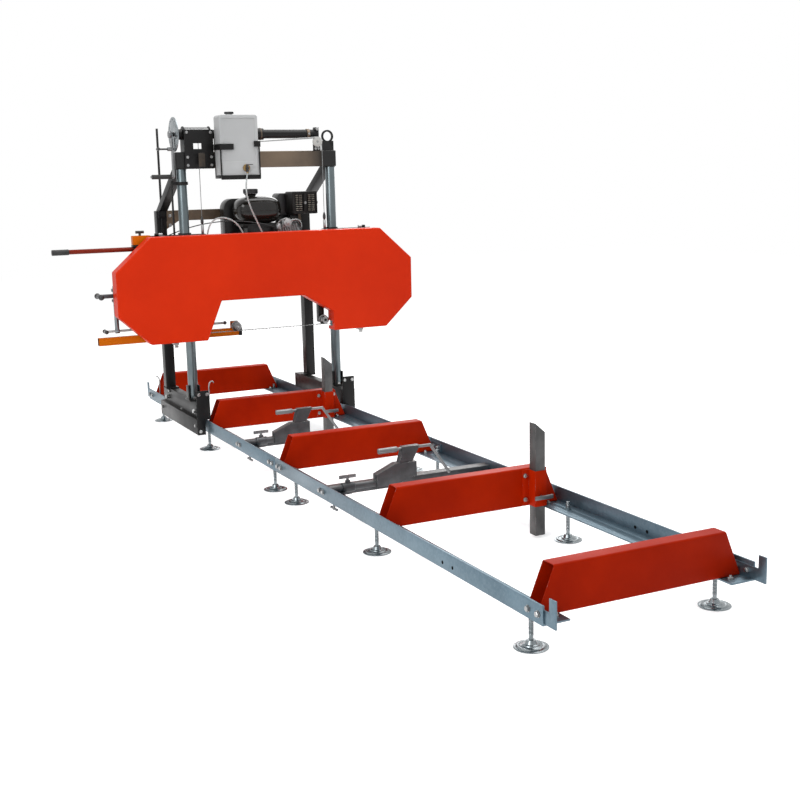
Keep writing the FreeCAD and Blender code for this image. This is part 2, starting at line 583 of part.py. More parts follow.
# Log clamps: a bar that slides in a sleeve on a cross member, with a slanted body and a head.
def clamp_sleeve(name, y):
    z = S.ClampBarHeight
    left = -S.ClampSleeveLeft
    right = left + S.ClampSleeveLength
    middle = left + S.ClampSleeveLength / 2
    boss = rod(name + "Boss", "Z", (middle, y),
               (z + S.ClampBarRadius + S.SlideGap * 2, z + S.ClampSleeveRadius + S.ClampBossRise),
               S.ClampBossRadius)
    hole = rod(name + "ScrewHole", "Z", (middle, y),
               (z, z + S.ClampSleeveRadius + S.ClampBossRise + S.Overrun),
               S.ClampScrewRadius + S.RunGap)
    bore = rod(name + "SleeveBore", "X", (y, z), (left - S.Overrun, right + S.Overrun),
               S.ClampBarRadius + S.SlideGap)
    shell = fuse(name + "Shell", [rod(name + "Sleeve", "X", (y, z), (left, right), S.ClampSleeveRadius), boss])
    front = y + S.ClampCrossGap
    web = slab(name + "Web", (left, right), (y + S.ClampBarRadius + S.SlideGap * 2, front),
               (FLANGE_TOP, FLANGE_TOP + S.ClampCrossHigh))
    member = slab(name + "Member", (-inner_face + S.SeatGap, inner_face - S.SeatGap),
                  (front, front + S.ClampCrossWide), (FLANGE_TOP, FLANGE_TOP + S.ClampCrossHigh))
    room = slab(name + "Room", (-HALF, HALF), (front + S.TubeWall, front + S.ClampCrossWide - S.TubeWall),
                (FLANGE_TOP + S.TubeWall, FLANGE_TOP + S.ClampCrossHigh - S.TubeWall))
    return cut(name, fuse(name + "Whole", [shell, web, member]), [hole, bore, room])


node("clamp_members", [clamp_sleeve("ClampNearMember", CLAMP_NEAR),
                       clamp_sleeve("ClampFarMember", CLAMP_FAR)])


def clamp_body(name, y, reach):
    z = S.ClampBarHeight
    x0 = -reach
    half = S.ClampBodyDepth / 2
    bar = rod(name + "Bar", "X", (y, z), (-S.ClampBarLeft, x0), S.ClampBarRadius)
    low = z - S.ClampBarRadius
    box_low = z + S.ClampBoxLow
    box_top = z + S.ClampBodyRise
    lean = S.ClampBodyLean
    body = prism(name + "Body", "XZ", [
        (x0 - S.ClampBarRadius, low), (x0 + S.ClampBodyWide, low), (x0 + S.ClampBodyWide + lean, box_low),
        (x0 + S.ClampBoxWide + lean / 2, box_low), (x0 + S.ClampBoxWide + lean / 2, box_top),
        (x0 + lean, box_top), (x0 - S.ClampBarRadius, z + S.ClampBodyRise / 2)],
        (y - half, y + half))
    depth = S.ClampHeadDepth / 2
    head_low = x0 + lean + S.ClampHeadLean / 2
    top = z + S.ClampHeadRise
    head = prism(name + "Head", "XZ", [
        (head_low, box_top), (head_low + S.ClampHeadWide - S.ClampHeadLean, box_top),
        (head_low + S.ClampHeadWide, top), (head_low + S.ClampHeadLean / 2, top)],
        (y - depth, y + depth))
    hole = rod(name + "RodHole", "X", (y, z + S.DogRodRise),
               (head_low - S.ClampHeadLean, head_low + S.ClampHeadWide + S.Overrun),
               S.DogRodRadius + S.SlideGap)
    return cut(name, fuse(name + "Whole", [bar, body, head]), hole)


def head_end(reach):
    """The far face of a clamp's head at the height of its rod."""
    return -reach + S.ClampBodyLean + S.ClampHeadLean / 2 + S.ClampHeadWide


def dog(name, y, reach):
    z = S.ClampBarHeight + S.DogRodRise
    start = -reach + S.ClampBodyLean + S.ClampHeadLean / 2
    bend = head_end(reach) + S.DogRodAhead
    grip_end = start - S.DogGripAhead
    bar = rod(name + "Rod", "X", (y, z), (grip_end - S.DogGripLength / 2, bend), S.DogRodRadius)
    grip = rod(name + "Grip", "X", (y, z), (grip_end - S.DogGripLength, grip_end), S.DogGripRadius)
    elbow = ball(name + "Elbow", (bend, y, z), S.DogRodRadius)
    hook = slant(name + "Hook", (bend, y, z), (bend + S.DogHookRun, y, z - S.DogHookDrop),
                 S.DogRodRadius, "XZ")
    return fuse(name, [bar, grip, elbow, hook])


def wing(name, axis, at, base, rise, radius, length, high, thick):
    """A wing screw: its stem along an axis and a flat bar across its end."""
    stem = rod(name + "Stem", axis, at, (base, base + rise), radius)
    if axis == "Z":
        x, y = at
        bar = slab(name + "Bar", (x - length / 2, x + length / 2), (y - thick / 2, y + thick / 2),
                   (base + rise - high / 2, base + rise + high / 2))
    else:
        x, z = at
        bar = slab(name + "Bar", (x - length / 2, x + length / 2),
                   (base - thick / 2, base + thick / 2), (z - high / 2, z + high / 2))
    return fuse(name, [stem, bar])


SLEEVE_MIDDLE = -S.ClampSleeveLeft + S.ClampSleeveLength / 2
for word, at, reach in (("near", CLAMP_NEAR, S.ClampNearReach), ("far", CLAMP_FAR, S.ClampFarReach)):
    title = word.capitalize()
    node("clamp_" + word, [clamp_body("Clamp" + title, at, reach)])
    node("dog_" + word, [dog("Dog" + title, at, reach)])
    node("clamp_wing_" + word, [wing(
        "ClampWing" + title, "Z", (SLEEVE_MIDDLE, at),
        S.ClampBarHeight + S.ClampBarRadius + S.SeatGap * 2, S.ClampScrewRise, S.ClampScrewRadius,
        S.ClampWingLength, S.ClampWingHigh, S.ClampWingThick)])


# Log stops: a square post with a slanted top in a folded sleeve on a cross beam.
def post_sleeve(name, face):
    x0 = S.PostLeft - S.SlideGap
    x1 = S.PostLeft + S.PostSide + S.SlideGap
    w = S.PostSleeveWall
    back = face - S.SlideGap - S.SeatGap
    front = back - S.PostSide - S.SlideGap
    hat = prism(name + "Hat", "XY", [
        (x0 - w - S.PostFlange, face - w), (x0 - w, face - w), (x0 - w, front - w), (x1 + w, front - w),
        (x1 + w, face - w), (x1 + w + S.PostFlange, face - w), (x1 + w + S.PostFlange, face),
        (x1, face), (x1, front), (x0, front), (x0, face), (x0 - w - S.PostFlange, face)],
        (S.PostSleeveLow, S.PostSleeveTop))
    hole = rod(name + "Hole", "Y", (S.PostLeft + S.PostSide / 2, S.StopScrewHeight),
               (front - w - S.Overrun, front + S.Overrun), S.ClampScrewRadius + S.RunGap)
    return cut(name, hat, hole)


def stop_post(name, face):
    back = face - S.SlideGap - S.SeatGap
    front = back - S.PostSide
    x0, x1 = S.PostLeft, S.PostLeft + S.PostSide
    low, top = S.PostLow, S.PostTop
    outer = prism(name + "Outer", "XZ", [(x0, low), (x1, low), (x1, top - S.PostSlant), (x0, top)],
                  (front, back))
    w = S.PostWall
    bore = slab(name + "Bore", (x0 + w, x1 - w), (front + w, back - w), (low - S.Overrun, top + S.Overrun))
    return cut(name, outer, bore)


STOP_FACES = (("near", bunk_front(1)), ("far", bunk_front(3)))
node("stop_sleeves", [post_sleeve("StopSleeve" + word.capitalize(), face) for word, face in STOP_FACES])
for word, face in STOP_FACES:
    title = word.capitalize()
    node("log_stop_" + word, [stop_post("LogStop" + title, face)])
    front = face - S.SlideGap * 2 - S.SeatGap - S.PostSide
    out = front - S.PostSleeveWall - S.StopScrewOut
    stem = rod("StopStem" + title, "Y", (S.PostLeft + S.PostSide / 2, S.StopScrewHeight),
               (out, front + S.SeatGap / 2), S.ClampScrewRadius)
    bar = slab("StopBar" + title,
               (S.PostLeft + S.PostSide / 2 - S.StopWingLength / 2,
                S.PostLeft + S.PostSide / 2 + S.StopWingLength / 2),
               (out - S.StopWingThick, out),
               (S.StopScrewHeight - S.StopWingHigh / 2, S.StopScrewHeight + S.StopWingHigh / 2))
    node("stop_wing_" + word, [fuse("StopWing" + title, [stem, bar])])

# Carriage side members: an inverted channel with an outer skirt, an end plate and seats for the posts.
CAR = S.CarriageFront
CAR_BACK = CAR + S.CarriageLength
COLUMN_Y = CAR + S.ColumnBack
REAR_Y = CAR + S.PostBack
WHEEL_X = HALF - S.RailThick / 2
WHEEL_Z = RAIL_TOP + S.WheelRadius + S.SeatGap
WHEEL_YS = (("front", CAR + S.WheelSetback), ("rear", CAR_BACK - S.WheelRearSetback))


def side_member(side):
    word = "Left" if side < 0 else "Right"
    w = S.MemberWall
    outer, inner, inset = S.MemberOuter, S.MemberInner, S.MemberInset
    step, top = S.MemberStep, S.MemberTop
    channel = prism("Channel" + word, "XZ", mirror_x(side, [
        (outer, S.MemberSkirtLow), (outer, step), (outer - inset, step), (outer - inset, top),
        (inner, top), (inner, step), (inner + w, step), (inner + w, top - w),
        (outer - inset - w, top - w), (outer - inset - w, step - w), (outer - w, step - w),
        (outer - w, S.MemberSkirtLow)]), (CAR + w, CAR_BACK))
    notch = HALF + S.RailPass
    plate = prism("EndPlate" + word, "XZ", mirror_x(side, [
        (outer, S.MemberSkirtLow), (outer, S.EndPlateTop), (inner, S.EndPlateTop), (inner, step),
        (notch, step), (notch, S.MemberSkirtLow)]), (CAR, CAR + w))
    seat = slab("Seat" + word, ordered(side, inner, outer),
                (COLUMN_Y - S.SeatHalf, COLUMN_Y + S.SeatHalf), (top, top + S.SeatPlate))
    seats = [seat]
    for number, x in enumerate((S.ColumnAcross - S.ColumnRadius - S.TabThick - S.SeatGap,
                                S.ColumnAcross + S.ColumnRadius + S.SeatGap)):
        seats.append(slab("Tab%s%d" % (word, number), ordered(side, x, x + S.TabThick),
                          (COLUMN_Y - S.TabHalf, COLUMN_Y + S.TabHalf),
                          (top + S.SeatPlate, top + S.SeatPlate + S.TabHeight)))
    foot_half = S.PostWide / 2
    rear_seat = slab("RearSeat" + word, ordered(side, inner, S.PostAcross + foot_half),
                     (REAR_Y - foot_half, REAR_Y + foot_half), (top, top + S.SeatPlate))
    bolts = []
    for place_word, y in WHEEL_YS:
        shaft = rod("Axle" + word + place_word, "X", (y, WHEEL_Z),
                    ordered(side, inner, outer - inset + S.AxleHeadHigh), S.WheelAxle)
        head = hexagon("AxleHead" + word + place_word, "X", (y, WHEEL_Z),
                       ordered(side, outer - inset, outer - inset + S.AxleHeadHigh), S.AxleHead)
        bolts += [shaft, head]
    return [fuse("SideMember" + word, [channel] + bolts), plate, fuse("ColumnSeat" + word, seats), rear_seat]


node("side_member_left", side_member(-1))
node("side_member_right", side_member(1))


# Four grooved wheels that run on the upright flanges.
def track_wheel(name, x, y):
    r, f, half, bore = S.WheelRadius, S.WheelFlange, S.WheelWide / 2, S.WheelAxle + S.RunGap
    groove = S.WheelGroove / 2
    return lathe(name, "X", (y, WHEEL_Z), [
        (bore, x - half), (f, x - half), (f, x - groove - S.RailThick / 4), (r, x - groove),
        (r, x + groove), (f, x + groove + S.RailThick / 4), (f, x + half), (bore, x + half)])


for side, word in ((-1, "left"), (1, "right")):
    for place_word, y in WHEEL_YS:
        name = "wheel_%s_%s" % (place_word, word)
        node(name, [track_wheel("Wheel" + place_word + word, WHEEL_X * side, y)])

# Two round columns.
SEAT_TOP = S.MemberTop + S.SeatPlate
columns = [tube("Column%d" % i, "Z", (S.ColumnAcross * side, COLUMN_Y), (SEAT_TOP, S.ColumnTop),
                S.ColumnRadius, S.ColumnRadius - S.ColumnWall) for i, side in enumerate((-1, 1))]

# Rear frame: square posts, cross beam with gussets, slanting braces, mast and scale rod.
half_post = S.PostWide / 2
tube_wall = S.TubeWall
rear = []
beam_low = S.RearTop - S.RearBeamHigh
for side, word in ((-1, "Left"), (1, "Right")):
    rear.append(cut("RearPost" + word, slab(
        "RearPostBar" + word, ordered(side, S.PostAcross - half_post, S.PostAcross + half_post),
        (REAR_Y - half_post, REAR_Y + half_post), (SEAT_TOP, S.RearTop)),
        slab("RearRoom" + word, ordered(side, S.PostAcross - half_post + tube_wall, S.PostAcross + half_post - tube_wall),
             (REAR_Y - half_post + tube_wall, REAR_Y + half_post - tube_wall),
             (SEAT_TOP - S.Overrun, S.RearTop - tube_wall))))
    inner = S.PostAcross - half_post
    rear.append(prism("Gusset" + word, "XZ", mirror_x(side, [
        (inner, beam_low), (inner, beam_low - S.GussetHigh), (inner - S.GussetLong, beam_low)]),
        (REAR_Y - half_post, REAR_Y + half_post)))
rear.append(cut("RearBeam", slab(
    "RearBeamBar", (-S.PostAcross + half_post, S.PostAcross - half_post),
    (REAR_Y - half_post, REAR_Y + half_post), (beam_low, S.RearTop)),
    slab("RearBeamRoom", (-S.PostAcross, S.PostAcross),
         (REAR_Y - half_post + tube_wall, REAR_Y + half_post - tube_wall),
         (beam_low + tube_wall, S.RearTop - tube_wall))))

BEAM_FRONT = COLUMN_Y - S.BeamDeep / 2
BEAM_BACK = COLUMN_Y + S.BeamDeep / 2
for side, word in ((-1, "Left"), (1, "Right")):
    rear.append(prism("Brace" + word, "YZ", [
        (BEAM_BACK, S.ColumnTop - S.BraceFrontLow), (BEAM_BACK, S.ColumnTop + S.BraceFrontTop),
        (REAR_Y + half_post, S.RearTop), (REAR_Y - half_post - S.BraceRear, S.RearTop)],
        ordered(side, S.ColumnAcross - S.BraceWide / 2, S.ColumnAcross + S.BraceWide / 2)))

mast_y = REAR_Y - half_post - S.MastRadius - S.SeatGap
mast_x = -S.PostAcross
mast = fuse("Mast", [
    rod("MastRod", "Z", (mast_x, mast_y), (S.MastLow, S.MastTop), S.MastRadius),
    slab("MastClamp", (mast_x - S.MastClamp, mast_x + S.MastClamp),
         (mast_y - S.MastClamp / 2, mast_y + S.MastRadius + S.SeatGap),
         (S.RearTop - S.MastClampHigh, S.RearTop))])
collar_z = (S.ScaleCollarLow, S.ScaleCollarLow + S.ScaleCollarHigh)
collar = cut("ScaleCollar", fuse("CollarBody", [
    rod("CollarRing", "Z", (-S.ColumnAcross, COLUMN_Y), collar_z, S.ColumnRadius + S.ScaleCollarWall),
    slab("CollarArm", (-S.ScaleAcross, -S.ColumnAcross),
         (COLUMN_Y - S.ScaleRadius * 2, COLUMN_Y + S.ScaleRadius), collar_z)]),
    rod("CollarBore", "Z", (-S.ColumnAcross, COLUMN_Y),
        (collar_z[0] - S.Overrun, collar_z[1] + S.Overrun), S.ColumnRadius + S.SeatGap))
scale = fuse("ScaleRod", [collar, rod("ScaleBar", "Z", (-S.ScaleAcross, COLUMN_Y),
                                      (S.ScaleLow, S.ScaleTop), S.ScaleRadius)])
node("columns", columns + [scale])
node("rear_frame", rear + [mast])

# Top beam with the lifting eye.
BEAM_TOP = S.ColumnTop + S.BeamHigh
beam = rounded("TopBeamBar", (-S.BeamLeft, S.BeamRight), (BEAM_FRONT, BEAM_BACK),
               (S.ColumnTop, BEAM_TOP), S.BeamRound, "X")
eye_y = (COLUMN_Y - S.EyeThick / 2, COLUMN_Y + S.EyeThick / 2)
eye_z = BEAM_TOP + S.EyeRise
eye = cut("LiftingEye", fuse("EyeBody", [
    rod("EyeRing", "Y", (S.EyeAcross, eye_z), eye_y, S.EyeOuter),
    slab("EyeFoot", (S.EyeAcross - S.EyeOuter, S.EyeAcross + S.EyeOuter), eye_y, (BEAM_TOP, eye_z - S.EyeInner))]),
    rod("EyeHole", "Y", (S.EyeAcross, eye_z), (eye_y[0] - S.Overrun, eye_y[1] + S.Overrun), S.EyeInner))
beam_room = slab("TopBeamRoom", (-S.BeamLeft + S.TubeWall, S.BeamRight + S.Overrun),
                 (BEAM_FRONT + S.TubeWall, BEAM_BACK - S.TubeWall), (S.ColumnTop + S.TubeWall, BEAM_TOP - S.TubeWall))
node("top_beam", [cut("TopBeam", fuse("TopBeamBody", [beam, eye]), beam_room)])

# Winch housing: front plate with a window, two cheeks, the fixed index disc and the end bearing.
SHAFT_Z = S.ColumnTop + S.WinchHeight
plate_back = BEAM_FRONT - S.PlateGap
plate_y = (plate_back - S.PlateThick, plate_back)
front_plate = cut("FrontPlate", slab("FrontSheet", (-S.PlateLeft, -S.PlateRight), plate_y,
                                     (S.ColumnTop + S.PlateLow, S.ColumnTop + S.PlateRise)),
                  slab("Window", (-S.WindowLeft, -S.WindowRight),
                       (plate_y[0] - S.Overrun, plate_y[1] + S.Overrun),
                       (S.ColumnTop + S.WindowLow, S.ColumnTop + S.WindowLow + S.WindowHigh)))
cheek_xs = ((-S.PlateLeft, -S.PlateLeft + S.CheekThick), (-S.PlateRight - S.CheekThick, -S.PlateRight))
housing = [front_plate]
for number, xs in enumerate(cheek_xs):
    housing.append(cut("Cheek%d" % number, slab("CheekSheet%d" % number, xs, (plate_back, BEAM_BACK),
                                                (BEAM_TOP, S.ColumnTop + S.PlateRise)),
                       rod("CheekHole%d" % number, "X", (COLUMN_Y, SHAFT_Z),
                           (xs[0] - S.Overrun, xs[1] + S.Overrun), S.ShaftRadius + S.RunGap)))
    housing.append(slab("Spacer%d" % number, (xs[0], xs[1]), (plate_back, BEAM_FRONT),
                        (S.ColumnTop + S.PlateLow, BEAM_TOP)))
disc_x = (-S.PlateLeft - S.DiscBossLong - S.DiscThick, -S.PlateLeft - S.DiscBossLong)
disc = fuse("DiscBody", [
    rod("DiscSheet", "X", (COLUMN_Y, SHAFT_Z), disc_x, S.DiscRadius),
    rod("DiscBossBar", "X", (COLUMN_Y, SHAFT_Z), (disc_x[1], -S.PlateLeft), S.DiscBoss)])
holes = [rod("DiscBore", "X", (COLUMN_Y, SHAFT_Z), (disc_x[0] - S.Overrun, -S.PlateLeft + S.Overrun / 2),
             S.ShaftRadius + S.RunGap)]
for step in range(12):
    angle = math.radians(30 * step - 90)
    holes.append(rod("IndexHole%d" % step, "X",
                     (COLUMN_Y + S.DiscHoleRing * math.cos(angle), SHAFT_Z + S.DiscHoleRing * math.sin(angle)),
                     (disc_x[0] - S.Overrun, disc_x[1] + S.Overrun), S.DiscHole))
disc = cut("IndexDisc", disc, holes)
bearing_x = (S.TubeEnd + S.RunGap, S.TubeEnd + S.RunGap + S.BearingThick)
bearing = cut("EndBearing", slab("BearingBlock", bearing_x,
                                 (COLUMN_Y - S.BearingHalf, COLUMN_Y + S.BearingHalf),
                                 (BEAM_TOP, SHAFT_Z + S.BearingRise)),
              rod("BearingBore", "X", (COLUMN_Y, SHAFT_Z),
                  (bearing_x[0] - S.Overrun, bearing_x[1] + S.Overrun), S.ShaftRadius + S.RunGap))
pulley_z = BEAM_TOP + S.PulleyRise
plate_front = BEAM_FRONT + S.SlideGap
pulley_plate = slab("PulleyPlate", (S.PulleyAcross - S.PulleyPlateHalf, S.PulleyAcross + S.PulleyPlateHalf),
                    (plate_front, plate_front + S.PulleyPlateThick), (BEAM_TOP, pulley_z + S.PulleyPlateHalf / 2))
cable_y = BEAM_FRONT - S.PlateGap / 2
pulley_pin = rod("PulleyPin", "Y", (S.PulleyAcross, pulley_z),
                 (cable_y - S.PulleyWide / 2 - S.RunGap * 5, plate_front), S.PulleyPin)
turn_z = BEAM_TOP + S.CableTurnRise
top_of_pulley = pulley_z + S.PulleyRadius - S.PulleyGroove + S.CableRadius + S.SeatGap
run_start = (-S.CableTurn, cable_y, turn_z)
arc = doc.addObject("Part::Torus", "CableArc")
bind(arc, "Radius1", S.PulleyRadius - S.PulleyGroove + S.CableRadius + S.SeatGap)
bind(arc, "Radius2", S.CableRadius)
arc.Angle3 = 90
arc.Placement = FreeCAD.Placement(Vector(), Rotation(Vector(1, 0, 0), 90))
place(arc, S.PulleyAcross, cable_y, pulley_z)
cable_run = fuse("CableRun", [
    rod("CableRise", "Z", (-S.CableTurn, cable_y), (turn_z, SHAFT_Z), S.CableRadius),
    ball("CableBend", run_start, S.CableRadius),
    slant("CableAcross", run_start, (S.PulleyAcross, cable_y, top_of_pulley), S.CableRadius, "XZ"),
    arc])
cable_top = rod("CableTop", "Z", (-S.CableDropLeft, cable_y), (pulley_z, SHAFT_Z), S.CableRadius)
sheave_x = -S.CableTurn + S.CableRadius + S.SeatGap + S.GuideSheave
sheave = rod("Sheave", "Y", (sheave_x, turn_z + S.GuideSheave + S.CableRadius + S.SeatGap),
             (plate_back, BEAM_FRONT - S.SeatGap), S.GuideSheave)
cable_hole = rod("CableHole", "X", (cable_y, turn_z + S.CableRadius),
                 (cheek_xs[1][0] - S.Overrun, cheek_xs[1][1] + S.Overrun), S.CableRadius * 3)
node("winch_housing", [cut("Housing", fuse("HousingBody", housing + [disc, sheave]), cable_hole),
                       bearing, fuse("PulleyHanger", [pulley_plate, pulley_pin]), cable_run, cable_top])

# Winch: shaft with drum, long tube and crank arm, turning as one.
crank_x = (disc_x[0] - S.CrankGap - S.CrankThick, disc_x[0] - S.CrankGap)
drum_x = (cheek_xs[0][1] + S.RunGap, cheek_xs[1][0] - S.RunGap)
axis_at = (COLUMN_Y, SHAFT_Z)
winch = [
    rod("WinchShaft", "X", axis_at, (crank_x[0] - S.CrankNutLong, bearing_x[1]), S.ShaftRadius),
    rod("Drum", "X", axis_at, drum_x, S.DrumRadius),
    rod("DrumFlangeLeft", "X", axis_at, (drum_x[0], drum_x[0] + S.DrumFlangeThick), S.DrumFlange),
    rod("DrumFlangeRight", "X", axis_at, (drum_x[1] - S.DrumFlangeThick, drum_x[1]), S.DrumFlange),
    rod("LongTube", "X", axis_at, (-S.PlateRight + S.RunGap, S.TubeEnd), S.TubeRadius),
    rod("TubeSleeve", "X", axis_at, (-S.SleeveLeft, S.SleeveLong - S.SleeveLeft), S.SleeveRadius),
    rod("CrankNut", "X", axis_at, (crank_x[0] - S.CrankNutLong, crank_x[0]), S.CrankNut),
    slab("CrankArm", crank_x, (COLUMN_Y - S.CrankWide / 2, COLUMN_Y + S.CrankWide / 2),
         (SHAFT_Z - S.CrankReach, SHAFT_Z)),
    rod("CrankTop", "X", axis_at, crank_x, S.CrankWide / 2),
    rod("CrankEnd", "X", (COLUMN_Y, SHAFT_Z - S.CrankReach), crank_x, S.CrankWide / 2),
    rod("GripStub", "X", (COLUMN_Y, SHAFT_Z - S.CrankReach),
        (crank_x[0] - S.GripStart - S.GripLong - S.GripStub, crank_x[0]), S.GripStub),
]
pin_z = SHAFT_Z - S.DiscHoleRing
boss_x = (crank_x[0] - S.PinBossLong, crank_x[0])
pin_hole = rod("PinHole", "X", (COLUMN_Y, pin_z), (boss_x[0] - S.Overrun, crank_x[1] + S.Overrun),
               S.PinRadius + S.RunGap)
winch.append(rod("PinBoss", "X", (COLUMN_Y, pin_z), boss_x, S.PinBoss))
node("winch", [cut("Winch", fuse("WinchBody", winch), pin_hole)])
grip_x = (crank_x[0] - S.GripStart - S.GripLong, crank_x[0] - S.GripStart)
node("crank_grip", [tube("CrankGrip", "X", (COLUMN_Y, SHAFT_Z - S.CrankReach), grip_x,
                         S.GripRadius, S.GripStub + S.RunGap)])
pin_x = (boss_x[0] - S.PinOut, disc_x[0] - S.PinGap)
node("index_pin", [fuse("IndexPin", [
    rod("PinBar", "X", (COLUMN_Y, pin_z), pin_x, S.PinRadius),
    ball("PinElbow", (pin_x[0], COLUMN_Y, pin_z), S.PinRadius),
    rod("PinHandle", "Y", (pin_x[0], pin_z), (COLUMN_Y - S.PinRise, COLUMN_Y), S.PinRadius),
    ball("PinKnob", (pin_x[0], COLUMN_Y - S.PinRise, pin_z), S.PinKnob)])])

# Cable pulley and the lifting cables.
pr, pg, pw = S.PulleyRadius, S.PulleyGroove, S.PulleyWide / 2
node("cable_pulley", [lathe("CablePulley", "Y", (S.PulleyAcross, pulley_z), [
    (S.PulleyPin + S.RunGap, cable_y - pw), (pr, cable_y - pw),
    (pr - pg, cable_y - S.CableRadius - S.SeatGap), (pr - pg, cable_y + S.CableRadius + S.SeatGap),
    (pr, cable_y + pw), (S.PulleyPin + S.RunGap, cable_y + pw)])])
drop_right = S.PulleyAcross + pr - pg + S.CableRadius + S.SeatGap
cable_low = CABLE_ANCHOR + S.TurnbuckleLong
node("lift_cables", [
    rod("CableLeft", "Z", (-S.CableDropLeft, cable_y), (cable_low, pulley_z), S.CableRadius),
    rod("CableRight", "Z", (drop_right, cable_y), (cable_low, pulley_z), S.CableRadius)])

# Water tank: a moulded box with a recessed front, a tap and a screw cap, in a tray on the top beam.
tank_x = (-S.TankLeft, -S.TankLeft + S.TankWide)
tank_y = (S.TankFront, S.TankFront + S.TankDeep)
tank_z = (S.TankLow, S.TankLow + S.TankHigh)
tank = rounded("Tank", tank_x, tank_y, tank_z, S.TankRound, "Y")
recess = slab("TankRecess", (tank_x[0] + S.TankRecessInset, tank_x[1] - S.TankRecessInset),
              (S.TankFront - S.Overrun, S.TankFront + S.TankRecess),
              (tank_z[0] + S.TapHigh + S.TankRecessInset * 2, tank_z[1] - S.TankRecessInset))
cap_at = (-S.TankCapAcross, S.TankFront + S.TankCapBack)
neck = rod("TankNeck", "Z", cap_at, (tank_z[1], tank_z[1] + S.TankNeckHigh), S.TankNeck)
tank = cut("TankShell", fuse("TankBody", [tank, neck]), recess)
tap_z = tank_z[0] + S.TapHigh
tap_at = (-S.TapAcross, tap_z)
tap_end = S.TankFront - S.TapLong
tap_body = fuse("TapBody", [
    hexagon("TapNut", "Y", tap_at, (S.TankFront - S.TapNutLong, S.TankFront), S.TapNut),
    rod("TapBarrel", "Y", tap_at, (tap_end, S.TankFront), S.TapBody),
    rod("TapSpout", "Z", (-S.TapAcross, tap_end + S.TapBody), (tap_z - S.TapSpoutDrop, tap_z), S.TapSpout),
    rod("TapStem", "Z", (-S.TapAcross, tap_end + S.TapBody), (tap_z, tap_z + S.TapBody + S.TapStemHigh),
        S.TapHandle)])
node("water_tank", [tank, tap_body])
cap_z = tank_z[1] + S.TankNeckHigh + S.SeatGap
node("tank_cap", [rod("TankCap", "Z", cap_at, (cap_z, cap_z + S.TankCapHigh), S.TankCapRadius)])
lever_z = tap_z + S.TapBody + S.TapStemHigh + S.SeatGap
lever_y = tap_end + S.TapBody
node("tap_lever", [fuse("TapLever", [
    rod("TapLeverHub", "Z", (-S.TapAcross, lever_y), (lever_z, lever_z + S.TapLeverThick), S.TapHandle),
    slab("TapLeverBar", (-S.TapAcross, -S.TapAcross + S.TapLeverLong),
         (lever_y - S.TapLeverWide / 2, lever_y + S.TapLeverWide / 2),
         (lever_z, lever_z + S.TapLeverThick))])])

tray_y = (S.TankFront - S.TrayThick, tank_y[1] + S.TrayThick)
tray_z = (tank_z[0] - S.TrayThick, tank_z[0])
tray_x = (tank_x[0] - S.TrayThick, tank_x[1] + S.TrayThick)
strut_z = (tank_z[0] + S.StrutLow, tank_z[0] + S.StrutLow + S.StrutHigh)
node("tank_frame", [fuse("TankTray", [
    slab("TrayFloor", tray_x, tray_y, tray_z),
    slab("TrayFrontLip", tray_x, (tray_y[0], S.TankFront), (tray_z[0], tray_z[0] + S.TrayLip)),
    slab("TrayLeftLip", (tray_x[0], tank_x[0]), tray_y, (tray_z[0], tray_z[0] + S.TrayLip)),
    slab("TrayRightLip", (tank_x[1], tray_x[1]), tray_y, (tray_z[0], tray_z[0] + S.TrayLip)),
    slab("TrayBack", tray_x, (tank_y[1], tray_y[1]), (tray_z[0], tray_z[0] + S.TrayBackHigh)),
    slab("TrayStrutLeft", (tank_x[0], tank_x[0] + S.StrutHalf), (tray_y[1], BEAM_FRONT), strut_z),
    slab("TrayStrutRight", (tank_x[1] - S.StrutHalf, tank_x[1]), (tray_y[1], BEAM_FRONT), strut_z)])])


def corner(before, at, after):
    """Where a cord leaves one straight run and meets the next, and the middle of its bend."""
    back = (before - at).normalize()
    ahead = (after - at).normalize()
    shorter = min((before - at).Length, (after - at).Length)
    turn = math.pi - back.getAngle(ahead)
    radius = 0.45 * shorter / math.tan(turn / 2)
    reach = 0.45 * shorter
    middle = (back + ahead).normalize() * (radius / math.cos(turn / 2) - radius)
    return at + back * reach, at + middle, at + ahead * reach, radius


def cord(name, points, radius, bore):
    """A bent hose: straight runs joined by tangent arcs, with a bore along its whole length."""
    points = [Vector(*(as_size(c).value for c in point)) for point in points]
    edges = []
    start = points[0]
    radii = []
    for i in range(1, len(points) - 1):
        enter, middle, leave, bend = corner(points[i - 1], points[i], points[i + 1])
        edges.append(Part.LineSegment(start, enter).toShape())
        edges.append(Part.Arc(enter, middle, leave).toShape())
        start = leave
        radii.append(round(bend, 1))
    edges.append(Part.LineSegment(start, points[-1]).toShape())
    print(name, "bend radii", radii)
    path = Part.Wire(edges)
    solids = []
    for size in (radius, bore):
        ring = Part.Circle(points[0], points[1] - points[0], size.value).toShape()
        solids.append(path.makePipeShell([Part.Wire(ring)], True, False))
    obj = doc.addObject("Part::Feature", name)
    obj.Shape = solids[0].cut(solids[1])
    return obj


